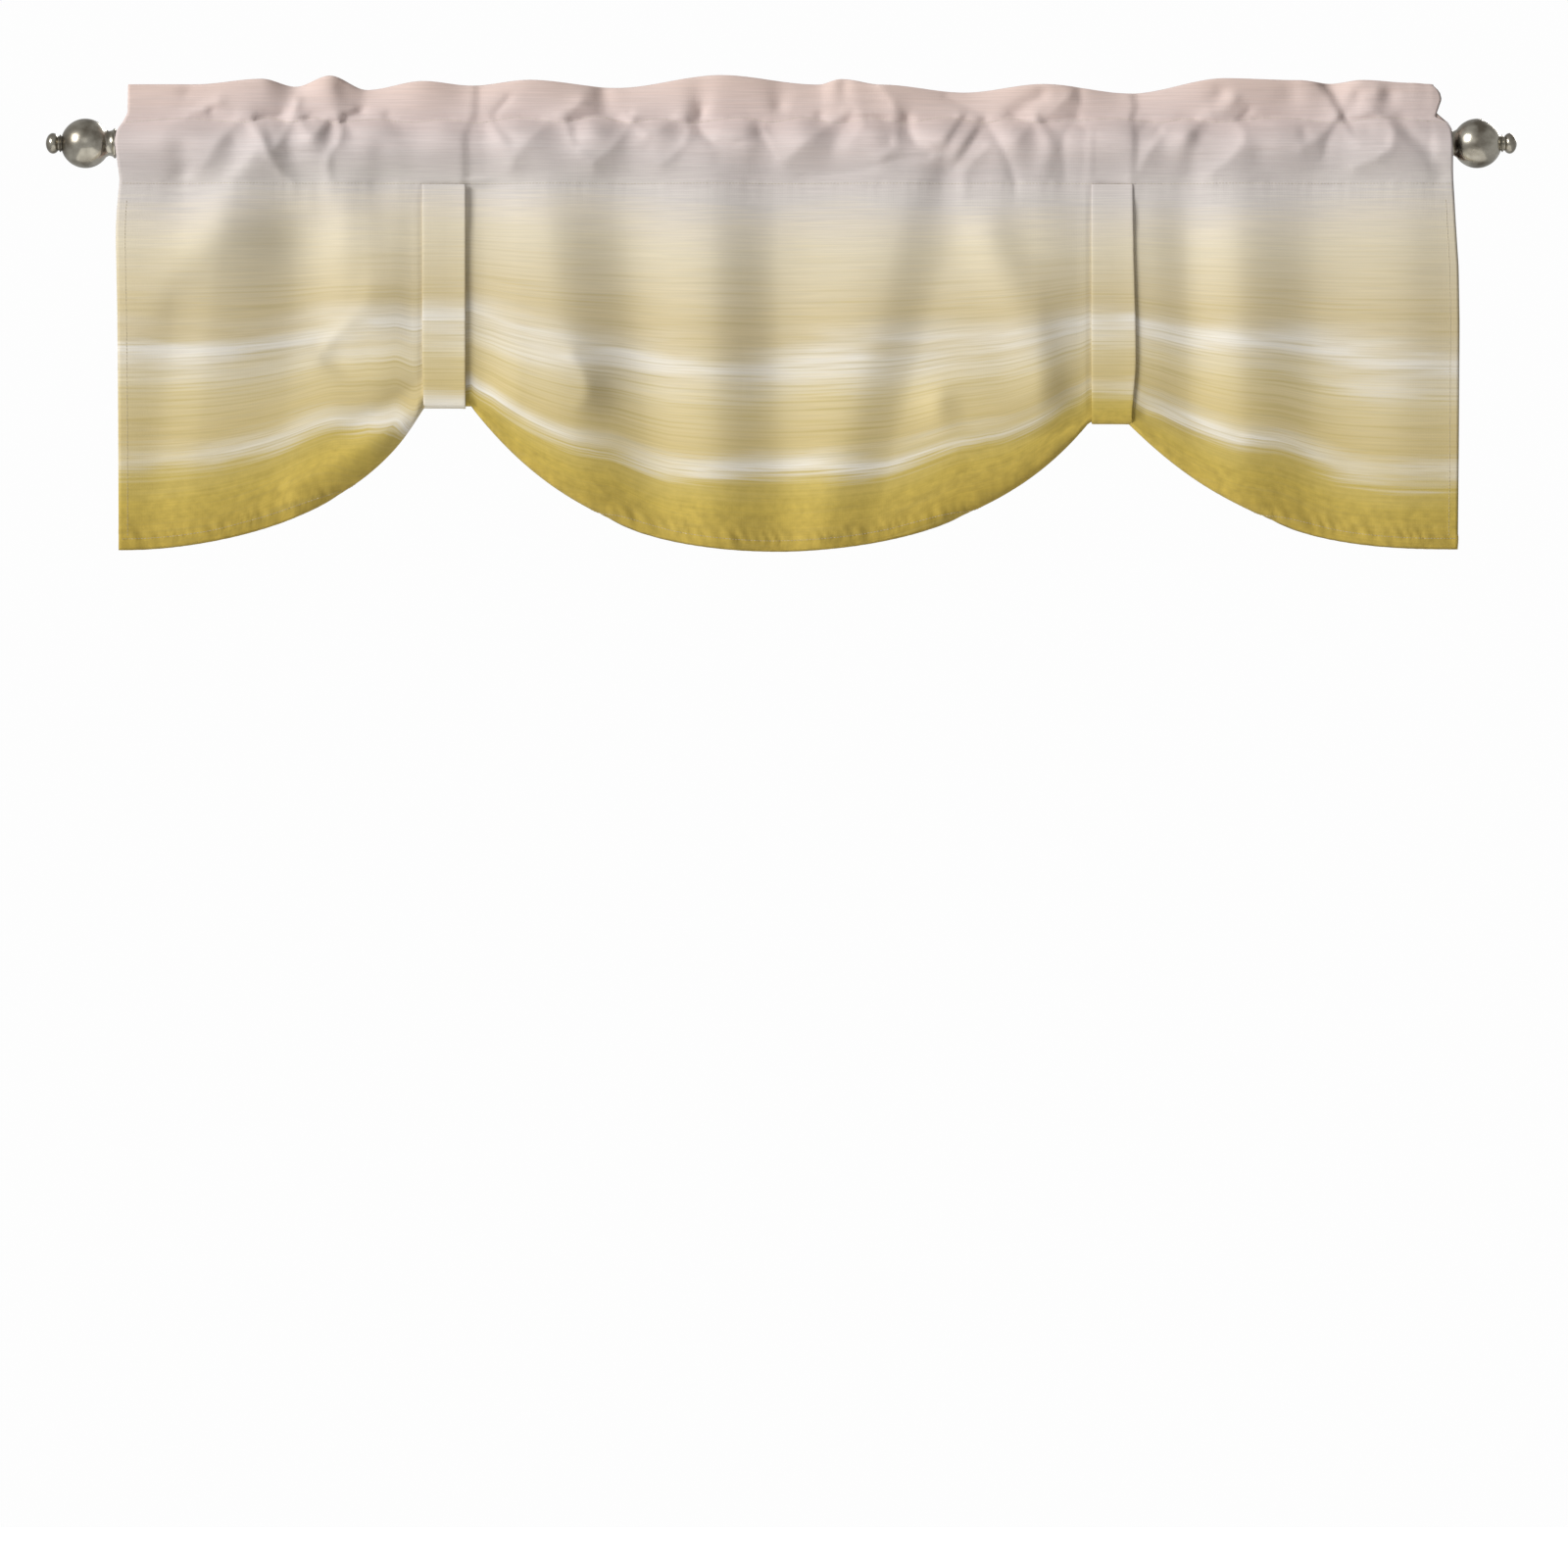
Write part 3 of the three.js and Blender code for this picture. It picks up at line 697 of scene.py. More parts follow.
    def skirt(self, x: Array, past: Array, turn: Turn) -> tuple[Array, Array]:
        """Points of the skirt and its print.

        Args:
            x: Columns of the cloth.
            past: Cloth past the start of the turn; negative on the front.
            turn: Lower edge of those columns.

        Returns:
            The points, and how far down the cloth they lie.
        """
        swept = turn.bend * np.clip(past / turn.arc, 0.0, 1.0)
        flap = np.maximum(0.0, past - turn.arc)
        back, down = turn.deep * np.sin(swept), turn.roll * np.cos(swept)
        slope = np.hypot(back, down)
        z = turn.start - turn.roll * np.sin(swept) - flap * down / slope + np.maximum(0.0, -past)
        behind = turn.deep * (1.0 - np.cos(swept)) + flap * back / slope
        level = np.where(swept < math.pi / 2.0, z, turn.start - turn.roll)
        front = 1.0 - smoothstep(math.pi / 2.0, math.pi, swept)
        y = self.hang(x, np.maximum(z, turn.start), turn) - front * self.creased(x, level) + behind
        hem = np.exp(-(((turn.length - past - self.hem_stitch) / self.hem_reach) ** 2))
        y = y + self.hem_pucker * hem * self.ripple(x + self.hem_slant * z)
        under = turn.shown + np.maximum(0.0, past) / turn.length * (self.full_drop - turn.shown)
        printed = np.where(past > 0.0, self.print_top - self.seam_z + under, self.printed(z, turn))
        return np.stack([self.across(x, z), y, z], axis=-1), printed

    def pocket(self, x: Array, share: float, facing: int, turn: Turn) -> tuple[Array, Array]:
        """Points of the pocket and its print.

        Args:
            x: Columns of the cloth.
            share: Way up from the lower seam to the pinch, 0 to 1.
            facing: -1 for the front layer, 1 for the back one.
            turn: Lower edge of those columns.

        Returns:
            The points, and how far down the cloth they lie.
        """
        px = self.across(x, np.full(x.shape, self.seam_z + (self.pinch_z - self.seam_z) * share))
        z = self.seam_z + (self.pinch(px) - self.seam_z) * share
        round_rod = math.sin(math.pi * share**self.pocket_skew)
        puff = self.puff(px) * (1.0 if facing < 0 else self.back_puff)
        collar = smoothstep(self.collar_x - self.collar_run, self.collar_x, px) * self.collar_extra
        bulge = (self.pocket_depth + np.maximum(puff, collar)) * round_rod
        at_seam = self.hang(x, np.full(x.shape, self.seam_z), turn) + (self.layer if facing > 0 else 0.0)
        settled = smoothstep(0.0, 1.0, share)
        y = at_seam + (facing * self.layer - at_seam) * settled + facing * bulge
        sewn = 1.0 if facing < 0 else smoothstep(self.back_sewn, 0.5, abs(share - 0.5))
        y = y - sewn * self.creased(px, z)
        keep = np.sqrt(np.maximum(0.0, (self.rod_clear + collar / 2.0) ** 2 - z * z))
        gap = facing * y - keep
        y = facing * (keep + 0.5 * (gap + np.hypot(gap, self.contact)))
        return np.stack([px, y, z], axis=-1), -facing * (self.print_top - z)

    def header(self, x: Array, share: float, facing: float) -> tuple[Array, Array]:
        """Points of the header and its print.

        Args:
            x: Columns of the cloth.
            share: Way up from the pinch to the top fold, 0 to 1.
            facing: -1 for the front layer, 1 for the back one, between them on the top fold.

        Returns:
            The points, and how far down the cloth they lie.
        """
        hx = self.across(x, np.full(x.shape, self.pinch_z + (self.header_top - self.pinch_z) * share))
        places = [r.x for r in RUFFLES]
        top = eased(hx, places, [r.top for r in RUFFLES]) - self.layer
        lean = eased(hx, places, [r.out for r in RUFFLES])
        z = self.pinch(hx) + (top - self.pinch(hx)) * share
        over = self.layer * math.sqrt(max(0.0, 1.0 - facing * facing))
        y = facing * self.layer * (1.0 + self.header_part * share) - lean * share - self.creased(hx, z)
        return np.stack([hx, y, z + over], axis=-1), np.sign(-facing) * (self.print_top - z - over)


def grid_normals(points: Array) -> Array:
    """Normals of a grid of points, facing the printed side of the cloth.

    Args:
        points: Rows up the cloth by columns to the right by 3.

    Returns:
        Unit normals of the same shape.
    """
    normals = np.cross(np.gradient(points, axis=1), np.gradient(points, axis=0))
    return normals / np.linalg.norm(normals, axis=-1, keepdims=True)


def linear(colour: str) -> tuple[float, float, float, float]:
    """Turns an sRGB hex colour to linear RGBA.

    Args:
        colour: Six hex digits after a hash sign.

    Returns:
        Red, green, blue and alpha.
    """
    parts = [int(colour[i : i + 2], 16) / 255.0 for i in (1, 3, 5)]
    red, green, blue = (p / 12.92 if p <= 0.04045 else ((p + 0.055) / 1.055) ** 2.4 for p in parts)
    return red, green, blue, 1.0


def add_node(
    tree: bpy.types.NodeTree, kind: str, inputs: dict[str | int, Any] | None = None, **settings: Any
) -> bpy.types.Node:
    """Adds a shader node with its settings, and sets or links its inputs.

    Args:
        tree: Node tree that takes it.
        kind: Node type.
        inputs: Value of each input socket, or the output socket that feeds it.
        **settings: Properties of the node.

    Returns:
        The new node.
    """
    node = tree.nodes.new(kind)
    for name, value in settings.items():
        setattr(node, name, value)
    for key, value in (inputs or {}).items():
        if isinstance(value, bpy.types.NodeSocket):
            tree.links.new(value, node.inputs[key])
        else:
            node.inputs[key].default_value = value
    return node


def new_material(name: str) -> tuple[bpy.types.Material, bpy.types.NodeTree]:
    """Makes an empty node material.

    Args:
        name: Name of the finish.

    Returns:
        The material and its node tree.
    """
    material = bpy.data.materials.new(name)
    material.use_nodes = True
    material.node_tree.nodes.clear()
    return material, material.node_tree


@dataclass(frozen=True)
class PrintedCloth:
    """Woven polyester with a heat-transfer print of level brushed stripes.

    The dye lies in the threads, so the cloth stays matt with a faint sheen; the reverse is paler, because
    the dye only reaches part of the way through.

    Attributes:
        name: Name of the finish.
        washed: How far the print pales towards the undyed cloth.
        levels: Ground colours by how far down the cloth they lie.
        veils: How much white is brushed over them, by how far down.
        veil: That white.
        undyed: Colour of the cloth without its print.
        breaks: Noise below and above which the white is thin and whole, and how much is left where thin.
        fleck: Colour of the dry-brush streaks.
        dry: Noise at which those start and are full, and their strength.
        dry_from: How far down they start and are full.
        drop: Length of the print.
        wander: How far the stripes wave up and down.
        feather: How far brush streaks reach across a stripe's edge.
        shifted: Noise between which they go from one end of that way to the other.
        wave_long: Length of a wave.
        broken: Length and height of the breaks in the white.
        streak: Length and height of a brush streak.
        streak_fine: Length and height of a fine streak.
        marked: Detail and roughness of the noise that all these are drawn with.
        grain: Share by which fine streaks lighten and darken the print.
        mottled: Noise between which they and the daubs go from dark to light.
        daub: Size of the daubs in the gold at the hem.
        daub_deep: Share by which they lighten and darken it.
        daub_from: How far down they start and are full.
        thread: Spacing of the threads; the real 0.4 mm is drawn coarser, so that it shows.
        uneven: How far the threads waver.
        relief: Strength and height of the weave.
        rough: Roughness of the cloth.
        sheen: Weight and roughness of its sheen.
        gloss: Strength of its reflections.
    """

    name: str
    washed: float = 0.0
    levels: tuple[tuple[float, str], ...] = (
        (0, "#E3CCC2"), (38, "#DCCBC6"), (78, "#D4CAC7"), (108, "#D5CEC8"), (134, "#DDD3C1"),
        (160, "#DDD2B8"), (205, "#D6C8A6"), (246, "#CDBB8D"), (300, "#D6C79D"), (350, "#CDBA85"),
        (388, "#C5B064"), (412, "#BFA74E"), (438, "#B89F47"), (458, "#AE953C"),
    )
    veils: tuple[tuple[float, float], ...] = (
        (0, 0.0), (228, 0.0), (262, 0.85), (284, 0.6), (312, 0.0), (352, 0.0), (376, 0.9), (392, 0.0),
    )
    veil: str = "#ECE8E0"
    undyed: str = "#E9E4DA"
    breaks: tuple[float, float, float] = (0.36, 0.6, 0.25)
    fleck: str = "#AE9B55"
    dry: tuple[float, float, float] = (0.5, 0.72, 0.45)
    dry_from: tuple[float, float] = (140.0, 260.0)
    drop: float = 460.0
    wander: float = 24.0
    feather: float = 9.0
    shifted: tuple[float, float] = (0.25, 0.75)
    wave_long: float = 420.0
    broken: tuple[float, float] = (240.0, 30.0)
    streak: tuple[float, float] = (110.0, 2.6)
    streak_fine: tuple[float, float] = (55.0, 1.3)
    marked: tuple[float, float] = (3.0, 0.55)
    grain: float = 0.07
    mottled: tuple[float, float] = (0.3, 0.7)
    daub: float = 11.0
    daub_deep: float = 0.14
    daub_from: tuple[float, float] = (385.0, 420.0)
    thread: float = 1.6
    uneven: float = 0.4
    relief: tuple[float, float] = (0.12, 0.4)
    rough: float = 0.78
    sheen: tuple[float, float] = (0.18, 0.45)
    gloss: float = 0.3

    def stripes(self, tree: bpy.types.NodeTree, level: bpy.types.NodeSocket, stops: Sequence[tuple]) -> Any:
        """Adds a colour ramp down the cloth.

        Args:
            tree: Node tree that takes it.
            level: How far down the print each point lies, in metres.
            stops: Places in millimetres with their colours, as hex or as a shade from 0 to 1.

        Returns:
            The ramp's colour socket.
        """
        share = add_node(tree, "ShaderNodeMapRange", {0: level, 2: self.drop * MM})
        node = add_node(tree, "ShaderNodeValToRGB", {0: share.outputs[0]})
        elements = node.color_ramp.elements
        elements.remove(elements[-1])
        for index, (place, shade) in enumerate(stops):
            stop = elements[0] if index == 0 else elements.new(place / self.drop)
            stop.position = place / self.drop
            stop.color = linear(shade) if isinstance(shade, str) else (shade, shade, shade, 1.0)
        return node.outputs[0]

    def noise(self, tree: bpy.types.NodeTree, uv: bpy.types.NodeSocket, long: float, high: float) -> Any:
        """Adds noise drawn out along the cloth.

        Args:
            tree: Node tree that takes it.
            uv: Places on the cloth in metres.
            long: Length of its marks in millimetres.
            high: Height of its marks in millimetres.

        Returns:
            The noise's value socket.
        """
        drawn = add_node(tree, "ShaderNodeMapping", {0: uv, 3: (1000.0 / long, 1000.0 / high, 1.0)})
        detail, rough = self.marked
        marks = {"Vector": drawn.outputs[0], "Scale": 1.0, "Detail": detail, "Roughness": rough}
        return add_node(tree, "ShaderNodeTexNoise", marks).outputs[0]

    def dyed(self, tree: bpy.types.NodeTree, uv: bpy.types.NodeSocket) -> Any:
        """Adds the print: level stripes with brushed edges, a broken white over them, and daubs at the hem.

        Args:
            tree: Node tree that takes it.
            uv: Places on the cloth in metres.

        Returns:
            The colour socket of the printed or washed-out cloth.
        """
        wave = self.noise(tree, uv, self.wave_long, self.wave_long)
        brush = self.noise(tree, uv, *self.streak)
        broken = self.noise(tree, uv, *self.broken)
        level = add_node(tree, "ShaderNodeSeparateXYZ", {0: uv}).outputs[1]
        low, high = self.shifted
        for marks, reach in ((wave, self.wander * MM), (brush, self.feather * MM)):
            shift = add_node(tree, "ShaderNodeMapRange", {0: marks, 1: low, 2: high, 3: -reach, 4: reach})
            level = add_node(tree, "ShaderNodeMath", {0: level, 1: shift.outputs[0]}).outputs[0]

        thin, whole, least = self.breaks
        cover = add_node(tree, "ShaderNodeMapRange", {0: broken, 1: thin, 2: whole, 3: least, 4: 1.0})
        first, full, strength = self.dry
        dry = add_node(tree, "ShaderNodeMapRange", {0: brush, 1: first, 2: full, 4: strength})
        top, foot = self.dry_from
        low_down = add_node(tree, "ShaderNodeMapRange", {0: level, 1: top * MM, 2: foot * MM})
        colour = self.stripes(tree, level, self.levels)
        for one, other, paint in (
            (self.stripes(tree, level, self.veils), cover.outputs[0], self.veil),
            (dry.outputs[0], low_down.outputs[0], self.fleck),
        ):
            amount = add_node(tree, "ShaderNodeMath", {0: one, 1: other}, operation="MULTIPLY").outputs[0]
            mixed = {0: amount, 6: colour, 7: linear(paint)}
            colour = add_node(tree, "ShaderNodeMix", mixed, data_type="RGBA").outputs[2]

        grain = self.noise(tree, uv, *self.streak_fine)
        daubs = self.noise(tree, uv, self.daub, self.daub)
        top, foot = self.daub_from
        at_hem = add_node(tree, "ShaderNodeMapRange", {0: level, 1: top * MM, 2: foot * MM}).outputs[0]
        dark, light = self.mottled
        for marks, depth, where in ((grain, self.grain, 1.0), (daubs, self.daub_deep, at_hem)):
            span = {0: marks, 1: dark, 2: light, 3: 1.0 - depth, 4: 1.0 + depth}
            shade = add_node(tree, "ShaderNodeMapRange", span).outputs[0]
            mixed = {0: where, 6: colour, 7: shade}
            colour = add_node(
                tree, "ShaderNodeMix", mixed, data_type="RGBA", blend_type="MULTIPLY"
            ).outputs[2]
        washed = {0: self.washed, 6: colour, 7: linear(self.undyed)}
        return add_node(tree, "ShaderNodeMix", washed, data_type="RGBA").outputs[2]

    def build(self) -> bpy.types.Material:
        """Makes the material, which reads the cloth's own UV map in metres.

        Returns:
            The material.
        """
        material, tree = new_material(self.name)
        uv = add_node(tree, "ShaderNodeUVMap", uv_map="cloth").outputs[0]
        colour = self.dyed(tree, uv)
        threads = {"Vector": uv, "Scale": WAVE / (self.thread * MM), "Distortion": self.uneven}
        weft, warp = (
            add_node(tree, "ShaderNodeTexWave", threads, bands_direction=way).outputs["Fac"] for way in "YX"
        )
        weave = add_node(tree, "ShaderNodeMath", {0: weft, 1: warp}, operation="MULTIPLY").outputs[0]
        strength, high = self.relief
        bump = add_node(
            tree, "ShaderNodeBump", {"Strength": strength, "Distance": high * MM, "Height": weave}
        )
        surface = add_node(
            tree, "ShaderNodeBsdfPrincipled",
            {
                "Base Color": colour, "Roughness": self.rough, "Sheen Weight": self.sheen[0],
                "Sheen Roughness": self.sheen[1], "Specular IOR Level": self.gloss, "Normal": bump.outputs[0],
            },
        )
        add_node(tree, "ShaderNodeOutputMaterial", {0: surface.outputs[0]})
        return material


@dataclass(frozen=True)
class PewterPlate:
    """Antique pewter plate on turned steel, tumbled to a satin.

    Soft bright reflections over a brown-grey metal, with darker tarnish left in patches.

    Attributes:
        name: Name of the finish.
        bright: Colour of the rubbed metal.
        tarnish: Colour of the darkened metal.
        patch: Size of the tarnished patches and detail of their noise.
        worn: Noise between which the metal goes from tarnished to rubbed.
        rough: Roughness of the tarnished and of the rubbed metal.
        grit: The same of the tumbling marks, drawn coarser than the real 0.1 mm so that they show.
        relief: Strength and height of those marks.
    """

    name: str = "antique_pewter_plate"
    bright: str = "#BDB8AB"
    tarnish: str = "#6E675B"
    patch: tuple[float, float] = (22.0, 4.0)
    worn: tuple[float, float] = (0.35, 0.65)
    rough: tuple[float, float] = (0.34, 0.2)
    grit: tuple[float, float] = (0.6, 2.0)
    relief: tuple[float, float] = (0.06, 0.2)

    def build(self) -> bpy.types.Material:
        """Makes the material, which reads object coordinates.

        Returns:
            The material.
        """
        material, tree = new_material(self.name)
        place = add_node(tree, "ShaderNodeTexCoord").outputs["Object"]
        patches, marks = (
            add_node(tree, "ShaderNodeTexNoise", {"Vector": place, "Scale": 1000.0 / size, "Detail": detail})
            for size, detail in (self.patch, self.grit)
        )
        low, high = self.worn
        worn = add_node(tree, "ShaderNodeMapRange", {0: patches.outputs[0], 1: low, 2: high}).outputs[0]
        mixed = {0: worn, 6: linear(self.tarnish), 7: linear(self.bright)}
        colour = add_node(tree, "ShaderNodeMix", mixed, data_type="RGBA")
        rough = add_node(tree, "ShaderNodeMapRange", {0: worn, 3: self.rough[0], 4: self.rough[1]})
        strength, deep = self.relief
        bump = add_node(
            tree, "ShaderNodeBump", {"Strength": strength, "Distance": deep * MM, "Height": marks.outputs[0]}
        )
        surface = add_node(
            tree, "ShaderNodeBsdfPrincipled",
            {
                "Base Color": colour.outputs[2], "Metallic": 1.0, "Roughness": rough.outputs[0],
                "Normal": bump.outputs[0],
            },
        )
        add_node(tree, "ShaderNodeOutputMaterial", {0: surface.outputs[0]})
        return material


@dataclass(frozen=True)
class SewingThread:
    """Spun polyester sewing thread: matt, with the slant of its twist painted as bands of light and shade.

    Attributes:
        name: Name of the finish.
        light: Colour of the ply with painted light, as where it faces the light.
        shade: Colour between the plies, with painted shade.
        twist: Length of one turn of the ply.
        rough: Roughness of the thread.
        sheen: Weight of its sheen.
    """

    name: str = "spun_polyester_thread"
    light: str = "#D3C9B0"
    shade: str = "#B9AD90"
    twist: float = 0.7
    rough: float = 0.7
    sheen: float = 0.2

    def build(self) -> bpy.types.Material:
        """Makes the material, which reads object coordinates.

        Returns:
            The material.
        """
        material, tree = new_material(self.name)
        place = add_node(tree, "ShaderNodeTexCoord").outputs["Object"]
        # Bands of painted light on the plies and painted shade between them, along the twist.
        painted_twist_light_and_shade = add_node(
            tree, "ShaderNodeTexWave",
            {"Vector": place, "Scale": WAVE / (self.twist * MM)}, bands_direction="DIAGONAL",
        )
        colour = add_node(
            tree, "ShaderNodeMix",
            {0: painted_twist_light_and_shade.outputs["Fac"], 6: linear(self.shade), 7: linear(self.light)}, data_type="RGBA",
        )
        surface = add_node(
            tree, "ShaderNodeBsdfPrincipled",
            {"Base Color": colour.outputs[2], "Roughness": self.rough, "Sheen Weight": self.sheen},
        )
        add_node(tree, "ShaderNodeOutputMaterial", {0: surface.outputs[0]})
        return material


@dataclass(frozen=True)
class StudioPaper:
    """Matt seamless paper for the floor: even and pale, with faint clumps of fibre.

    Attributes:
        name: Name of the finish.
        pale: Its colour.
        fibre: Its colour where fibres darken it.
        clumps: Clumps of fibre in a metre, and detail of their noise.
        rough: Roughness of the paper.
        glow: Light that comes up through it.
    """

    name: str = "lit_studio_paper"
    pale: str = "#F4F3F1"
    fibre: str = "#EFEEEB"
    clumps: tuple[float, float] = (60.0, 5.0)
    rough: float = 0.9
    glow: float = 0.35

    def build(self) -> bpy.types.Material:
        """Makes the material, which reads object coordinates.

        Returns:
            The material.
        """
        material, tree = new_material(self.name)
        place = add_node(tree, "ShaderNodeTexCoord").outputs["Object"]
        scale, detail = self.clumps
        fibres = add_node(tree, "ShaderNodeTexNoise", {"Vector": place, "Scale": scale, "Detail": detail})
        colour = add_node(
            tree, "ShaderNodeMix",
            {0: fibres.outputs[0], 6: linear(self.pale), 7: linear(self.fibre)}, data_type="RGBA",
        )
        surface = add_node(
            tree, "ShaderNodeBsdfPrincipled",
            {
                "Base Color": colour.outputs[2], "Roughness": self.rough,
                "Emission Color": linear(self.pale), "Emission Strength": self.glow,
            },
        )
        add_node(tree, "ShaderNodeOutputMaterial", {0: surface.outputs[0]})
        return material


def mesh_object(name: str, points: Array, faces: list[list[int]]) -> bpy.types.Object:
    """Makes a mesh object.

    Args:
        name: Name of the piece.
        points: Points in millimetres, in an array of any shape that ends in 3.
        faces: Corners of each face.

    Returns:
        The object, at the origin.
    """
    mesh = bpy.data.meshes.new(name)
    mesh.from_pydata((points.reshape(-1, 3) * MM).tolist(), [], faces)
    obj = bpy.data.objects.new(name, mesh)
    bpy.context.scene.collection.objects.link(obj)
    return obj


def cloth_object(name: str, points: Array, cloth: Array, ring: bool = False) -> bpy.types.Object:
    """Makes a mesh object from a grid of points, with a UV map of the cloth in metres.

    Args:
        name: Name of the piece.
        points: Rows by columns by 3, in millimetres.
        cloth: Rows by columns by 2: places across and down the flat cloth, in millimetres.
        ring: Whether each row closes on itself; its ends are then capped.

    Returns:
        The object, at the origin.
    """
    rows, columns = points.shape[:2]
    index = np.arange(rows * columns).reshape(rows, columns)
    right = np.roll(index, -1, axis=1)
    across = columns if ring else columns - 1
    quads = np.stack([index[:-1], right[:-1], right[1:], index[1:]], axis=-1)[:, :across].reshape(-1, 4)
    faces = quads.tolist()
    if ring:
        faces += [index[0, ::-1].tolist(), index[-1].tolist()]
    obj = mesh_object(name, points, faces)
    layer = obj.data.uv_layers.new(name="cloth")
    corners = np.empty(len(obj.data.loops), np.int64)
    obj.data.loops.foreach_get("vertex_index", corners)
    layer.data.foreach_set("uv", (cloth.reshape(-1, 2)[corners] * MM).ravel())
    return obj


def select_only(obj: bpy.types.Object) -> None:
    """Makes one object the only selected and active one.

    Args:
        obj: The object.
    """
    bpy.ops.object.select_all(action="DESELECT")
    obj.select_set(True)
    bpy.context.view_layer.objects.active = obj


def settle(name: str) -> bpy.types.Object:
    """Names the primitive that was just added and moves its place into its mesh.

    Args:
        name: Name of the piece.

    Returns:
        The object, at the origin.
    """
    obj = bpy.context.object
    obj.name = obj.data.name = name
    bpy.ops.object.transform_apply(location=True, rotation=True, scale=True)
    return obj


@dataclass
class ValancePanel:
    """Printed panel: one cloth with its hems, rod pocket and ruffled header.

    Attributes:
        form: Hanging shape.
        columns: Columns across the free cloth.
        flap_rows: Rows on the turned-under flap.
        arc_rows: Rows round the turned-under edge.
        front_rows: Rows down the front of the skirt.
        crowd: Share of those that lie in the lower part of the drop, and that part.
        pocket_rows: Rows up the front of the pocket.
        header_rows: Rows up the front of the header.
        top_rows: Rows over the header's top fold, from -1 in front to 1 behind.
        back_rows: Rows down the back of the header, and half of those down the back of the pocket.
        least_step: Least distance between rows near the hem.
        hem_deep: Cloth folded behind at the hem.
        hem_ease: Heights above the hem's fold between which the side hems settle on to one layer.
        side_hem: Places of the side hem's rows of stitches and cloth, from the edge inwards.
        cloth: Thickness of the cloth.
        flat: Cut size of the cloth.
    """

    form: HangingCloth
    columns: int = 410
    flap_rows: int = 5
    arc_rows: int = 10
    front_rows: int = 42
    crowd: tuple[float, float] = (0.72, 0.5)
    pocket_rows: int = 24
    header_rows: int = 14
    top_rows: tuple[float, ...] = (-0.7, 0.01, 0.7)
    back_rows: int = 4
    least_step: float = 2.0
    hem_deep: float = 12.0
    hem_ease: tuple[float, float] = (14.0, 26.0)
    side_hem: tuple[float, float] = (3.0, 9.0)
    cloth: float = 0.5
    flat: tuple[float, float] = (1.372, 0.575)
    points: Array = field(init=False, repr=False)
    normals: Array = field(init=False, repr=False)
    seam_row: int = field(init=False)
    pinch_row: int = field(init=False)
    hem_row: int = field(init=False)

    def column_places(self) -> Array:
        """Places of the columns at the hem, with those of the side hems at their own distances.

        Returns:
            The places, from left to right.
        """
        near, far = self.side_hem
        left, right = self.form.left, self.form.right
        inner = np.linspace(left + far, right - far, self.columns)
        return np.concatenate([[left, left + near], inner, [right - near, right]])

    def skirt_rows(self, turn: Turn) -> list[Array]:
        """Distances past the start of the turn for each row, from the hem's fold up to the pocket seam.

        Args:
            turn: Shape of the lower edge at each column.

        Returns:
            The columns' distances, one array a row.
        """
        hem = turn.length - self.form.hem_stitch
        flap = np.minimum(turn.arc, hem - self.flap_rows * self.least_step)
        arc = np.minimum(0.0, flap - self.arc_rows * self.least_step)
        seam = turn.start - self.form.seam_z
        rows = [turn.length - self.form.hem_stitch / 4.0, hem]
        even = (0.5, 0.5)
        for first, last, count, (share, part) in (
            (hem, flap, self.flap_rows, even),
            (flap, arc, self.arc_rows, even),
            (arc, seam, self.front_rows, self.crowd),
        ):
            steps = np.interp(np.arange(1, count + 1) / count, (0.0, share, 1.0), (0.0, part, 1.0))
            rows += [first + (last - first) * step for step in steps]
        return rows

    def hem_fold(self, x: Array, turn: Turn) -> list[tuple[Array, Array]]:
        """Rows of the cloth folded behind at the hem, from its cut edge to the fold.

        Args:
            x: Places across the cloth.
            turn: Shape of the lower edge at each column.

        Returns:
            Points of each row and their distances down the flat cloth.
        """
        depths = (self.hem_deep, self.hem_deep / 2.0, self.form.hem_stitch / 4.0, 0.0)
        strip = [self.form.skirt(x, turn.length - d, turn) for d in depths]
        normals = grid_normals(np.stack([points for points, _ in strip])[::-1])[::-1]
        rows = []
        for depth, (points, down), normal in zip(depths, strip, normals):
            behind = self.form.layer if depth else self.form.layer / 2.0
            rows.append((points + normal * -behind, down))
        return rows

    def lay_out(self) -> tuple[Array, Array]:
        """Lays out the whole cloth, row by row from the hem's cut edge to that of the pocket.

        Returns:
            The points, and how far down the cloth each lies.
        """
        form, x = self.form, self.column_places()
        turn = form.turn(x)
        rows = self.hem_fold(x, turn)
        self.hem_row = len(rows) + 1
        rows += [form.skirt(x, past, turn) for past in self.skirt_rows(turn)]
        self.seam_row = len(rows) - 1
        ups = [i / self.pocket_rows for i in range(1, self.pocket_rows + 1)]
        rows += [form.pocket(x, share, -1, turn) for share in ups]
        self.pinch_row = len(rows) - 1
        rows += [form.header(x, i / self.header_rows, -1.0) for i in range(1, self.header_rows + 1)]
        rows += [form.header(x, 1.0, facing) for facing in self.top_rows]
        rows += [form.header(x, 1.0 - i / self.back_rows, 1.0) for i in range(self.back_rows + 1)]
        downs = [1.0 - i / (2.0 * self.back_rows) for i in range(1, 2 * self.back_rows + 1)]
        rows += [form.pocket(x, share, 1, turn) for share in downs]
        return np.stack([points for points, _ in rows]), np.stack([down for _, down in rows])

    def fold_sides(self, down: Array) -> tuple[Array, Array]:
        """Adds the cloth folded behind at both side edges.

        Args:
            down: How far down the cloth each point lies.

        Returns:
            The points and the flat places of the whole cloth.
        """
        layer, back = self.form.layer, -self.normals
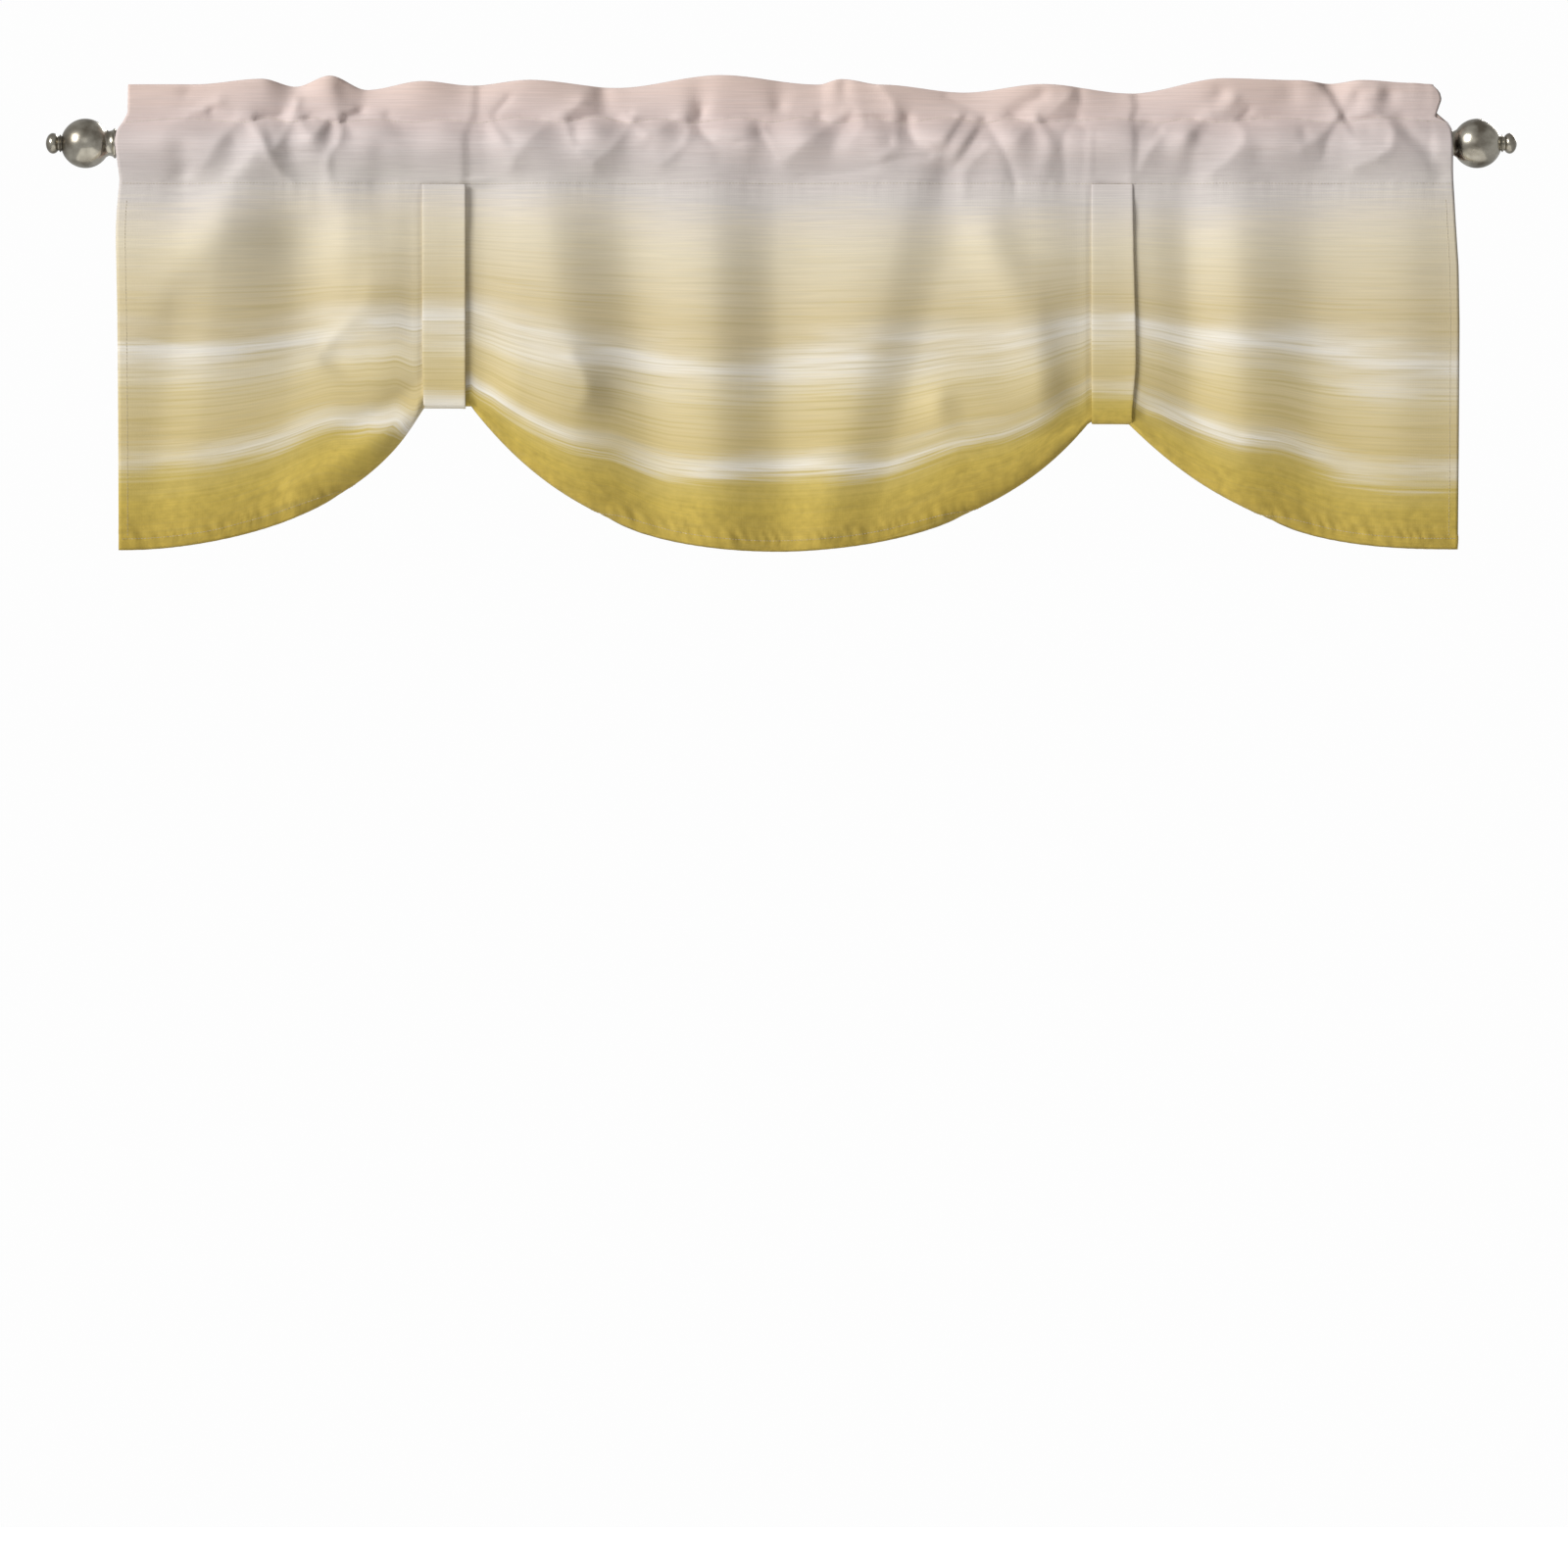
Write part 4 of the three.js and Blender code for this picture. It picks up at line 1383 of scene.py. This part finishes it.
        # The hem's folded cloth faces the other way, and its fold lies as the row above it does.
        fold = self.hem_row - 2
        back[:fold] *= -1.0
        back[fold] = back[fold + 1]
        behind = np.full(len(self.points), layer)
        rows = np.arange(len(behind))
        above_hem = down[:, 0].max() - down[:, 0]
        at_hem = (rows > fold) & (rows <= self.seam_row)
        behind += np.where(at_hem, 2.0 * layer * (1.0 - smoothstep(*self.hem_ease, above_hem)), 0.0)
        behind[fold] += layer
        behind = behind[:, None]
        place = np.broadcast_to(self.column_places(), down.shape)
        left, right = [], []
        # Columns of the side hem from its cut edge to its fold, which lies half a layer behind.
        for column, share in ((2, 1.0), (1, 1.0), (0, 0.5)):
            left.append(self.points[:, column] + back[:, column] * behind * share)
            right.insert(0, self.points[:, -1 - column] + back[:, -1 - column] * behind * share)
        points = np.concatenate([np.stack(left, 1), self.points, np.stack(right, 1)], axis=1)
        flat = np.stack([place, down], axis=-1)
        flat = np.concatenate([flat[:, 2::-1], flat, flat[:, :-4:-1]], axis=1)
        return points, flat

    def build(self) -> bpy.types.Object:
        """Builds the cloth as one thin closed sheet.

        Returns:
            The object that stands for the panel's solid.
        """
        self.points, down = self.lay_out()
        self.normals = grid_normals(self.points)
        points, flat = self.fold_sides(down)
        cloth = cloth_object("valance_cloth", points, flat)
        select_only(cloth)
        thick = cloth.modifiers.new("cloth_thickness", "SOLIDIFY")
        thick.thickness, thick.offset = self.cloth * MM, 0.0
        thick.material_offset, thick.material_offset_rim = 1, 0
        bpy.ops.object.modifier_apply(modifier=thick.name)
        bpy.ops.object.shade_smooth()
        return cloth

    def dress(self, cloth: bpy.types.Object, stitching: bpy.types.Object) -> None:
        """Gives the cloth its print and its paler reverse, and fixes it to the panel's body.

        Args:
            cloth: The panel's cloth.
            stitching: The sewing on it; not used.
        """
        cloth.data.materials.append(PrintedCloth("printed_woven_polyester").build())
        cloth.data.materials.append(PrintedCloth("printed_woven_polyester_reverse", washed=0.6).build())
        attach(cloth, BODY)
        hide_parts("valance_panel")


@dataclass
class Stitching:
    """Lockstitch along the panel's seams and hems, as one mesh of short threads.

    Attributes:
        panel: Panel that is sewn, after it is built.
        pitch: Spacing of the stitches.
        long: Length of thread that shows.
        radius: Radius of the thread.
        stations: Way along a stitch, with the share of the radius that it is thick and high there.
        corners: Corners round it.
        band_clear: Half width beside a band's middle that is left without hem stitches.
    """

    panel: ValancePanel
    pitch: float = 3.2
    long: float = 2.3
    radius: float = 0.22
    stations: tuple[tuple[float, float, float], ...] = (
        (0.0, 0.4, 0.0), (0.2, 1.0, 0.8), (0.8, 1.0, 0.8), (1.0, 0.4, 0.0),
    )
    corners: int = 4
    band_clear: float = 25.0

    def threads(self, line: Array, normals: Array) -> Array:
        """Points of the stitches along a line.

        Args:
            line: Points on the middle of the cloth.
            normals: Its printed side at those points.

        Returns:
            Stitches by stations by corners by 3.
        """
        run = np.concatenate([[0.0], np.cumsum(np.linalg.norm(np.diff(line, axis=0), axis=1))])
        starts = np.arange(self.pitch, run[-1] - self.pitch, self.pitch)

        def at(places: Array, values: Array) -> Array:
            """Reads values along the line."""
            return np.stack([np.interp(places, run, values[:, k]) for k in range(3)], axis=-1)

        first, last, up = at(starts, line), at(starts + self.long, line), at(starts, normals)
        side = np.cross(up, last - first)
        side /= np.linalg.norm(side, axis=-1, keepdims=True)
        angles = [2.0 * math.pi * i / self.corners for i in range(self.corners)]
        rings = []
        for share, thick, high in self.stations:
            middle = first + (last - first) * share + up * (self.panel.cloth / 2.0 + high * self.radius)
            ring = [middle + self.radius * thick * (math.cos(a) * side + math.sin(a) * up) for a in angles]
            rings.append(np.stack(ring, axis=1))
        return np.stack(rings, axis=1)

    def build(self) -> bpy.types.Object:
        """Sews both pocket seams, the hem and the side hems.

        Returns:
            The object of all the stitches.
        """
        panel = self.panel
        points, normals = panel.points, panel.normals
        sewn = [self.threads(points[row], normals[row]) for row in (panel.seam_row, panel.pinch_row)]
        free = np.min([np.abs(panel.column_places() - s.x) for s in STRAPS], axis=0) > self.band_clear
        for part in np.split(np.arange(len(free)), np.flatnonzero(np.diff(free)) + 1):
            if free[part[0]]:
                sewn.append(self.threads(points[panel.hem_row, part], normals[panel.hem_row, part]))
        for column in (2, -3):
            rows = slice(panel.hem_row, panel.seam_row)
            sewn.append(self.threads(points[rows, column], normals[rows, column]))
        stitches = np.concatenate(sewn)
        rings = np.arange(len(self.stations) * self.corners).reshape(-1, self.corners)
        after = np.roll(rings, -1, axis=1)
        sides = np.stack([rings[:-1], after[:-1], after[1:], rings[1:]], axis=-1).reshape(-1, 4)
        shape = np.concatenate([sides, rings[:1, ::-1], rings[-1:]])
        faces = (np.arange(len(stitches))[:, None, None] * rings.size + shape).reshape(-1, 4)
        return mesh_object("seam_stitching", stitches, faces.tolist())

    def dress(self, obj: bpy.types.Object) -> None:
        """Gives the stitches their thread and fixes them to the panel's body.

        Args:
            obj: The stitches.
        """
        obj.data.materials.append(SewingThread().build())
        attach(obj, BODY)


@dataclass
class TieBand:
    """Sewn strap that goes down the front, under the lifted edge and up the back.

    Attributes:
        strap: Its place.
        form: Shape of the cloth that it holds.
        thick: Thickness of its two layers.
        section: Share across and depth, in half thicknesses, of its front from left to right.
        pressed: Depth, height above the lowest point and half width of its pressed line.
        cloth: Thickness that the solid of the panel has there.
        gap: Room between the band and the panel.
        tucked: How far below the pocket seam its front and its back end lie.
        flap_clear: How far above the turned-up cloth its back run starts to close in.
        shaped: Height above its lowest point at which its edges have their middle places.
        down_rows: Rows down the front.
        round_rows: Rows under the lifted edge.
        up_rows: Rows up the back.
        smooth: Angle in degrees below which its edges are shaded as round.
    """

    strap: Strap
    form: HangingCloth
    thick: float = 1.4
    section: tuple[tuple[float, float], ...] = (
        (0.0, 0.0), (0.01, 0.3), (0.05, 0.55), (0.12, 0.62), (0.5, 0.65), (0.92, 0.8), (0.965, 1.25),
        (0.992, 0.9), (1.0, 0.0),
    )
    pressed: tuple[float, float, float] = (0.5, 9.0, 1.5)
    cloth: float = 1.5
    gap: float = 0.3
    tucked: tuple[float, float] = (0.6, 2.0)
    flap_clear: float = 8.0
    shaped: float = 60.0
    down_rows: int = 40
    round_rows: int = 16
    up_rows: int = 16
    smooth: float = 50.0
    length: float = field(init=False)

    def route(self) -> Array:
        """Middle line of the strap, as points (y, z) from the front seam to the back seam.

        Returns:
            Points by 2.
        """
        turn = self.form.turn(np.array([self.strap.x]))
        start, deep = float(turn.start[0]), float(turn.deep[0])
        flap_top = start + float(turn.length[0] - turn.arc[0]) + self.flap_clear
        front_top, back_top = (self.form.seam_z - tuck for tuck in self.tucked)
        away = self.cloth / 2.0 + self.gap + self.thick / 2.0
        front, radius, middle = self.form.base_y - away, deep + away, self.form.base_y + deep
        route = [(front, z) for z in np.linspace(front_top, start, self.down_rows)[:-1]]
        for angle in np.linspace(0.0, math.pi, self.round_rows):
            route.append((middle - radius * math.cos(angle), start - radius * math.sin(angle)))
        route += [(middle + radius, z) for z in np.linspace(start, flap_top, self.up_rows)[1:]]
        for share in np.linspace(0.0, 1.0, self.up_rows)[1:]:
            y = middle + radius + (self.cloth + away - middle - radius) * smoothstep(0.0, 1.0, share)
            route.append((float(y), flap_top + (back_top - flap_top) * share))
        return np.array(route)

    def build(self) -> bpy.types.Object:
        """Sweeps the strap's flat, round-edged section along its route.

        Returns:
            The object that stands for the band's solid.
        """
        route = self.route()
        along = np.gradient(route, axis=0)
        along /= np.linalg.norm(along, axis=1, keepdims=True)
        out = np.stack([along[:, 1], -along[:, 0]], axis=1)
        run = np.concatenate([[0.0], np.cumsum(np.linalg.norm(np.diff(route, axis=0), axis=1))])
        heights = (self.strap.low, self.strap.low + self.shaped, self.form.seam_z)
        left = eased(route[:, 1], heights, self.strap.left[::-1])
        right = eased(route[:, 1], heights, self.strap.right[::-1])
        ring = [*self.section, *((share, -deep) for share, deep in self.section[-2:0:-1])]
        depth, above, half = self.pressed
        line = depth * np.exp(-(((run - (self.form.seam_z - self.strap.low) + above) / half) ** 2))
        turn = self.form.turn(np.array([self.strap.x]))
        beyond = np.maximum(0.0, run - (self.form.seam_z - float(turn.start[0])))
        down = self.form.printed(route[:, 1], turn) * (beyond == 0.0)
        down = np.where(beyond > 0.0, down.max() + beyond, down)
        columns, flat = [], []
        for share, deep in ring:
            x = left + (right - left) * share
            offset = self.thick / 2.0 * deep - line * (deep > 0.0)
            columns.append(np.column_stack([x, route + out * offset[:, None]]))
            flat.append(np.column_stack([x, down]))
        points, cloth = np.stack(columns, 1), np.stack(flat, 1)
        obj = cloth_object(f"{self.strap.node}_cloth", points[::-1], cloth[::-1], ring=True)
        select_only(obj)
        bpy.ops.object.shade_smooth_by_angle(angle=math.radians(self.smooth))
        self.length = float(run[-1])
        return obj

    def dress(self, obj: bpy.types.Object, cloth: bpy.types.Object) -> None:
        """Gives the band its print and fixes it to the panel's body.

        Args:
            obj: The band.
            cloth: The panel that it lies on; not used.
        """
        obj.data.materials.append(PrintedCloth(f"printed_strap_{self.strap.node}").build())
        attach(obj, BODY)
        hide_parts(self.strap.node)


@dataclass
class CurtainRod:
    """Plain steel tube that carries the valance.

    Attributes:
        radius: Outer radius.
        wall: Wall thickness.
        half: Half length.
        sides: Facets round it.
        smooth: Angle in degrees below which its edges are shaded as round.
    """

    radius: float = 12.5
    wall: float = 1.2
    half: float = 644.7
    sides: int = 64
    smooth: float = 40.0

    def build(self) -> bpy.types.Object:
        """Models the tube from an open cylinder that is given its wall inwards.

        Returns:
            The object that stands for the rod's solid.
        """
        bpy.ops.object.select_all(action="DESELECT")
        bpy.ops.mesh.primitive_cylinder_add(
            vertices=self.sides, radius=self.radius * MM, depth=2.0 * self.half * MM,
            end_fill_type="NOTHING", rotation=(0.0, math.pi / 2.0, 0.0),
        )
        rod = settle("curtain_rod")
        bpy.ops.object.modifier_add(type="SOLIDIFY")
        wall = rod.modifiers[-1]
        wall.thickness = self.wall * MM
        wall.offset = -1.0
        bpy.ops.object.modifier_apply(modifier=wall.name)
        bpy.ops.object.shade_smooth_by_angle(angle=math.radians(self.smooth))
        return rod

    def dress(self, rod: bpy.types.Object, plate: bpy.types.Material) -> None:
        """Gives the rod its plating.

        Args:
            rod: The rod.
            plate: The plating.
        """
        rod.data.materials.append(plate)
        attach(rod, BODY)
        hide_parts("rod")


@dataclass
class BallFinial:
    """Turned finial at one end of the rod: spigot, flared collar, ball, beaded neck and end knob.

    Attributes:
        side: End of the rod.
        at: Place of the collar's face.
        spigot: Radius, length and chamfer of the part inside the rod.
        collar: Outer radius, waist radius and length of the collar.
        lip: First and second rounding and length of the collar's rim, and the step behind it.
        ball: Radius of the ball and distance of its middle.
        neck: Radius of the neck and of the bead on it.
        bead: Part of the neck that the bead takes up.
        knob: Radius, half length and distance of the end knob.
        tip: Angle at which the knob ends in a small flat.
        steps: Stations on the collar, the ball, the bead and the knob.
        sides: Facets round it.
        smooth: Angle in degrees below which its edges are shaded as round.
    """

    side: Side
    at: float = 645.0
    spigot: tuple[float, float, float] = (11.0, 30.0, 0.6)
    collar: tuple[float, float, float] = (14.5, 12.0, 7.0)
    lip: tuple[float, float, float, float] = (0.4, 0.5, 2.1, 1.0)
    ball: tuple[float, float] = (24.0, 29.5)
    neck: tuple[float, float] = (7.0, 8.6)
    bead: tuple[float, float] = (0.1, 0.7)
    knob: tuple[float, float, float] = (10.0, 6.9, 61.0)
    tip: float = 0.04
    steps: tuple[int, int, int, int] = (6, 30, 6, 18)
    sides: int = 64
    smooth: float = 40.0

    def profile(self) -> list[tuple[float, float]]:
        """Stations (radius, distance from the collar's face), from the spigot outwards.

        Returns:
            The stations in order.
        """
        spigot, inside, chamfer = self.spigot
        rim, waist, long = self.collar
        first, second, lip, step = self.lip
        radius, middle = self.ball
        neck, bead = self.neck
        knob, half, end = self.knob
        flare, globe, swell, cap = self.steps
        stations = [(spigot - chamfer, -inside), (spigot, -inside + chamfer), (spigot, 0.0)]
        stations += [(rim - first, 0.0), (rim, first), (rim, lip - second), (rim - second, lip)]
        for share in np.linspace(0.1, 1.0, flare):
            narrow = (rim - step - waist) * (1.0 - share) ** 2
            stations.append((waist + narrow, lip + (long - lip) * share))
        for angle in np.linspace(math.pi - math.asin(waist / radius), math.asin(neck / radius), globe)[1:]:
            stations.append((radius * math.sin(angle), middle + radius * math.cos(angle)))
        neck_at = stations[-1][1]
        knob_first = math.pi - math.asin(neck / knob)
        knob_at = end + half * math.cos(knob_first)
        low, high = self.bead
        for share in np.linspace(low, high, swell):
            bulge = math.sin(math.pi * (share - low) / (high - low))
            stations.append((neck + (bead - neck) * bulge, neck_at + (knob_at - neck_at) * share))
        for angle in np.linspace(knob_first, self.tip, cap):
            stations.append((knob * math.sin(angle), end + half * math.cos(angle)))
        return stations

    def build(self) -> bpy.types.Object:
        """Models the finial from one disc, extruded and scaled from station to station.

        Returns:
            The object that stands for the finial's solid.
        """
        stations = self.profile()
        direction = self.side.value
        places = [direction * (self.at + distance) * MM for _, distance in stations]
        bpy.ops.object.select_all(action="DESELECT")
        bpy.ops.mesh.primitive_circle_add(
            vertices=self.sides, radius=stations[0][0] * MM, fill_type="NGON",
            location=(places[0], 0.0, 0.0), rotation=(0.0, math.pi / 2.0, 0.0),
        )
        finial = settle(f"ball_finial_{self.side.name.lower()}")
        bpy.ops.object.mode_set(mode="EDIT")
        bpy.ops.mesh.select_mode(type="FACE")
        bpy.ops.mesh.select_all(action="SELECT")
        for i in range(1, len(stations)):
            move = (places[i] - places[i - 1], 0.0, 0.0)
            bpy.ops.mesh.extrude_region_move(TRANSFORM_OT_translate={"value": move})
            size = stations[i][0] / stations[i - 1][0]
            bpy.ops.transform.resize(value=(1.0, size, size), center_override=(places[i], 0.0, 0.0))
        bpy.ops.mesh.select_all(action="SELECT")
        bpy.ops.mesh.normals_make_consistent(inside=False)
        bpy.ops.object.mode_set(mode="OBJECT")
        bpy.ops.object.shade_smooth_by_angle(angle=math.radians(self.smooth))
        return finial

    def dress(self, finial: bpy.types.Object, plate: bpy.types.Material) -> None:
        """Gives the finial its plating.

        Args:
            finial: The finial.
            plate: The plating.
        """
        finial.data.materials.append(plate)
        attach(finial, BODY)
        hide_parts(f"finial_{self.side.name.lower()}")


@dataclass(frozen=True)
class Softbox:
    """Square soft light.

    Attributes:
        name: Its name.
        place: Its place in metres.
        size: Its side in metres.
        power: Its power in watts.
    """

    name: str
    place: tuple[float, float, float]
    size: float
    power: float

    def hang(self, aim_z: float) -> None:
        """Hangs the light, aimed at a height in metres on the middle of the valance.

        Args:
            aim_z: That height.
        """
        data = bpy.data.lights.new(self.name, "AREA")
        data.size, data.energy = self.size, self.power
        light = bpy.data.objects.new(self.name, data)
        light.location = self.place
        aim = light.location.copy()
        aim.z -= aim_z
        light.rotation_euler = aim.to_track_quat("Z", "Y").to_euler()
        bpy.context.scene.collection.objects.link(light)


@dataclass
class Studio:
    """Pale floor, soft lights in front and behind, and a level camera straight in front, far off.

    Attributes:
        floor_z: Height of the floor.
        floor_half: Half width of the floor.
        floor_back: How far it reaches behind the rod.
        frame: Width of the picture at the rod.
        aim: Middle of the picture (x, z).
        distance: Camera's distance.
        sensor: Width of the camera's sensor.
        clip: Distance up to which the camera sees, in metres.
        lights: Key light from the upper left, a weak one in front, and one for the back.
        light_aim: Height at which they are aimed.
        backdrop: Brightness behind the object.
        ambient: Brightness of the light from all round.
        mirrored: Brightness of the white walls in the metal's reflections.
    """

    floor_z: float = -1360.0
    floor_half: float = 1500.0
    floor_back: float = 250.0
    frame: float = 1520.0
    aim: tuple[float, float] = (2.6, -621.0)
    distance: float = 10000.0
    sensor: float = 36.0
    clip: float = 100.0
    lights: tuple[Softbox, ...] = (
        Softbox("key_light", (-16.1, -12.6, 8.2), 8.0, 5100.0),
        Softbox("front_light", (-0.8, -6.0, 1.2), 2.4, 10.0),
        Softbox("back_light", (5.0, 10.0, 4.0), 5.0, 1500.0),
    )
    light_aim: float = -170.0
    backdrop: float = 0.985
    ambient: float = 0.08
    mirrored: float = 0.5

    def floor(self) -> None:
        """Lays a sheet of paper well below the object, most of it in front."""
        place = (0.0, (self.floor_back - self.floor_half) * MM, self.floor_z * MM)
        bpy.ops.object.select_all(action="DESELECT")
        bpy.ops.mesh.primitive_plane_add(size=2.0 * self.floor_half * MM, location=place)
        floor = settle("studio_floor")
        floor.data.materials.append(StudioPaper().build())

    def surroundings(self) -> None:
        """Sets a white backdrop for the camera and a dimmer even light for the object."""
        world = bpy.data.worlds.new("studio")
        bpy.context.scene.world = world
        world.use_nodes = True
        tree = world.node_tree
        tree.nodes.clear()
        rays = add_node(tree, "ShaderNodeLightPath").outputs
        glow = add_node(
            tree, "ShaderNodeMapRange", {0: rays["Is Glossy Ray"], 3: self.ambient, 4: self.mirrored}
        )
        seen = add_node(
            tree, "ShaderNodeMapRange", {0: rays["Is Camera Ray"], 3: glow.outputs[0], 4: self.backdrop}
        )
        sky = add_node(tree, "ShaderNodeBackground", {0: (1.0, 1.0, 1.0, 1.0), 1: seen.outputs[0]})
        add_node(tree, "ShaderNodeOutputWorld", {0: sky.outputs[0]})

    def camera(self) -> None:
        """Sets a level camera far in front, so that the view is almost without perspective."""
        data = bpy.data.cameras.new("camera")
        data.sensor_width = self.sensor
        data.lens = self.sensor * self.distance / self.frame
        data.clip_end = self.clip
        camera = bpy.data.objects.new("camera", data)
        camera.location = (self.aim[0] * MM, -self.distance * MM, self.aim[1] * MM)
        camera.rotation_euler = (math.pi / 2.0, 0.0, 0.0)
        bpy.context.scene.collection.objects.link(camera)
        bpy.context.scene.camera = camera

    def build(self) -> None:
        """Sets up the floor, lights, backdrop and camera."""
        self.floor()
        for light in self.lights:
            light.hang(self.light_aim * MM)
        self.surroundings()
        self.camera()
        bpy.context.scene.view_settings.view_transform = "Standard"


def report(obj: bpy.types.Object) -> None:
    """Logs a finished piece."""
    log.info("%s: %d faces", obj.name, len(obj.data.polygons))


def main() -> None:
    """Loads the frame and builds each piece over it."""
    logging.basicConfig(level=logging.INFO, format="%(name)s: %(message)s")
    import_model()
    form = HangingCloth()
    panel = ValancePanel(form)
    cloth = panel.build()
    report(cloth)
    sewing = Stitching(panel)
    stitches = sewing.build()
    sewing.dress(stitches)
    report(stitches)
    panel.dress(cloth, stitches)
    for strap in STRAPS:
        band = TieBand(strap, form)
        loop = band.build()
        band.dress(loop, cloth)
        report(loop)
    plate = PewterPlate().build()
    for piece in (CurtainRod(), *(BallFinial(side) for side in Side)):
        metal = piece.build()
        piece.dress(metal, plate)
        report(metal)
    Studio().build()


if __name__ == "__main__":
    main()
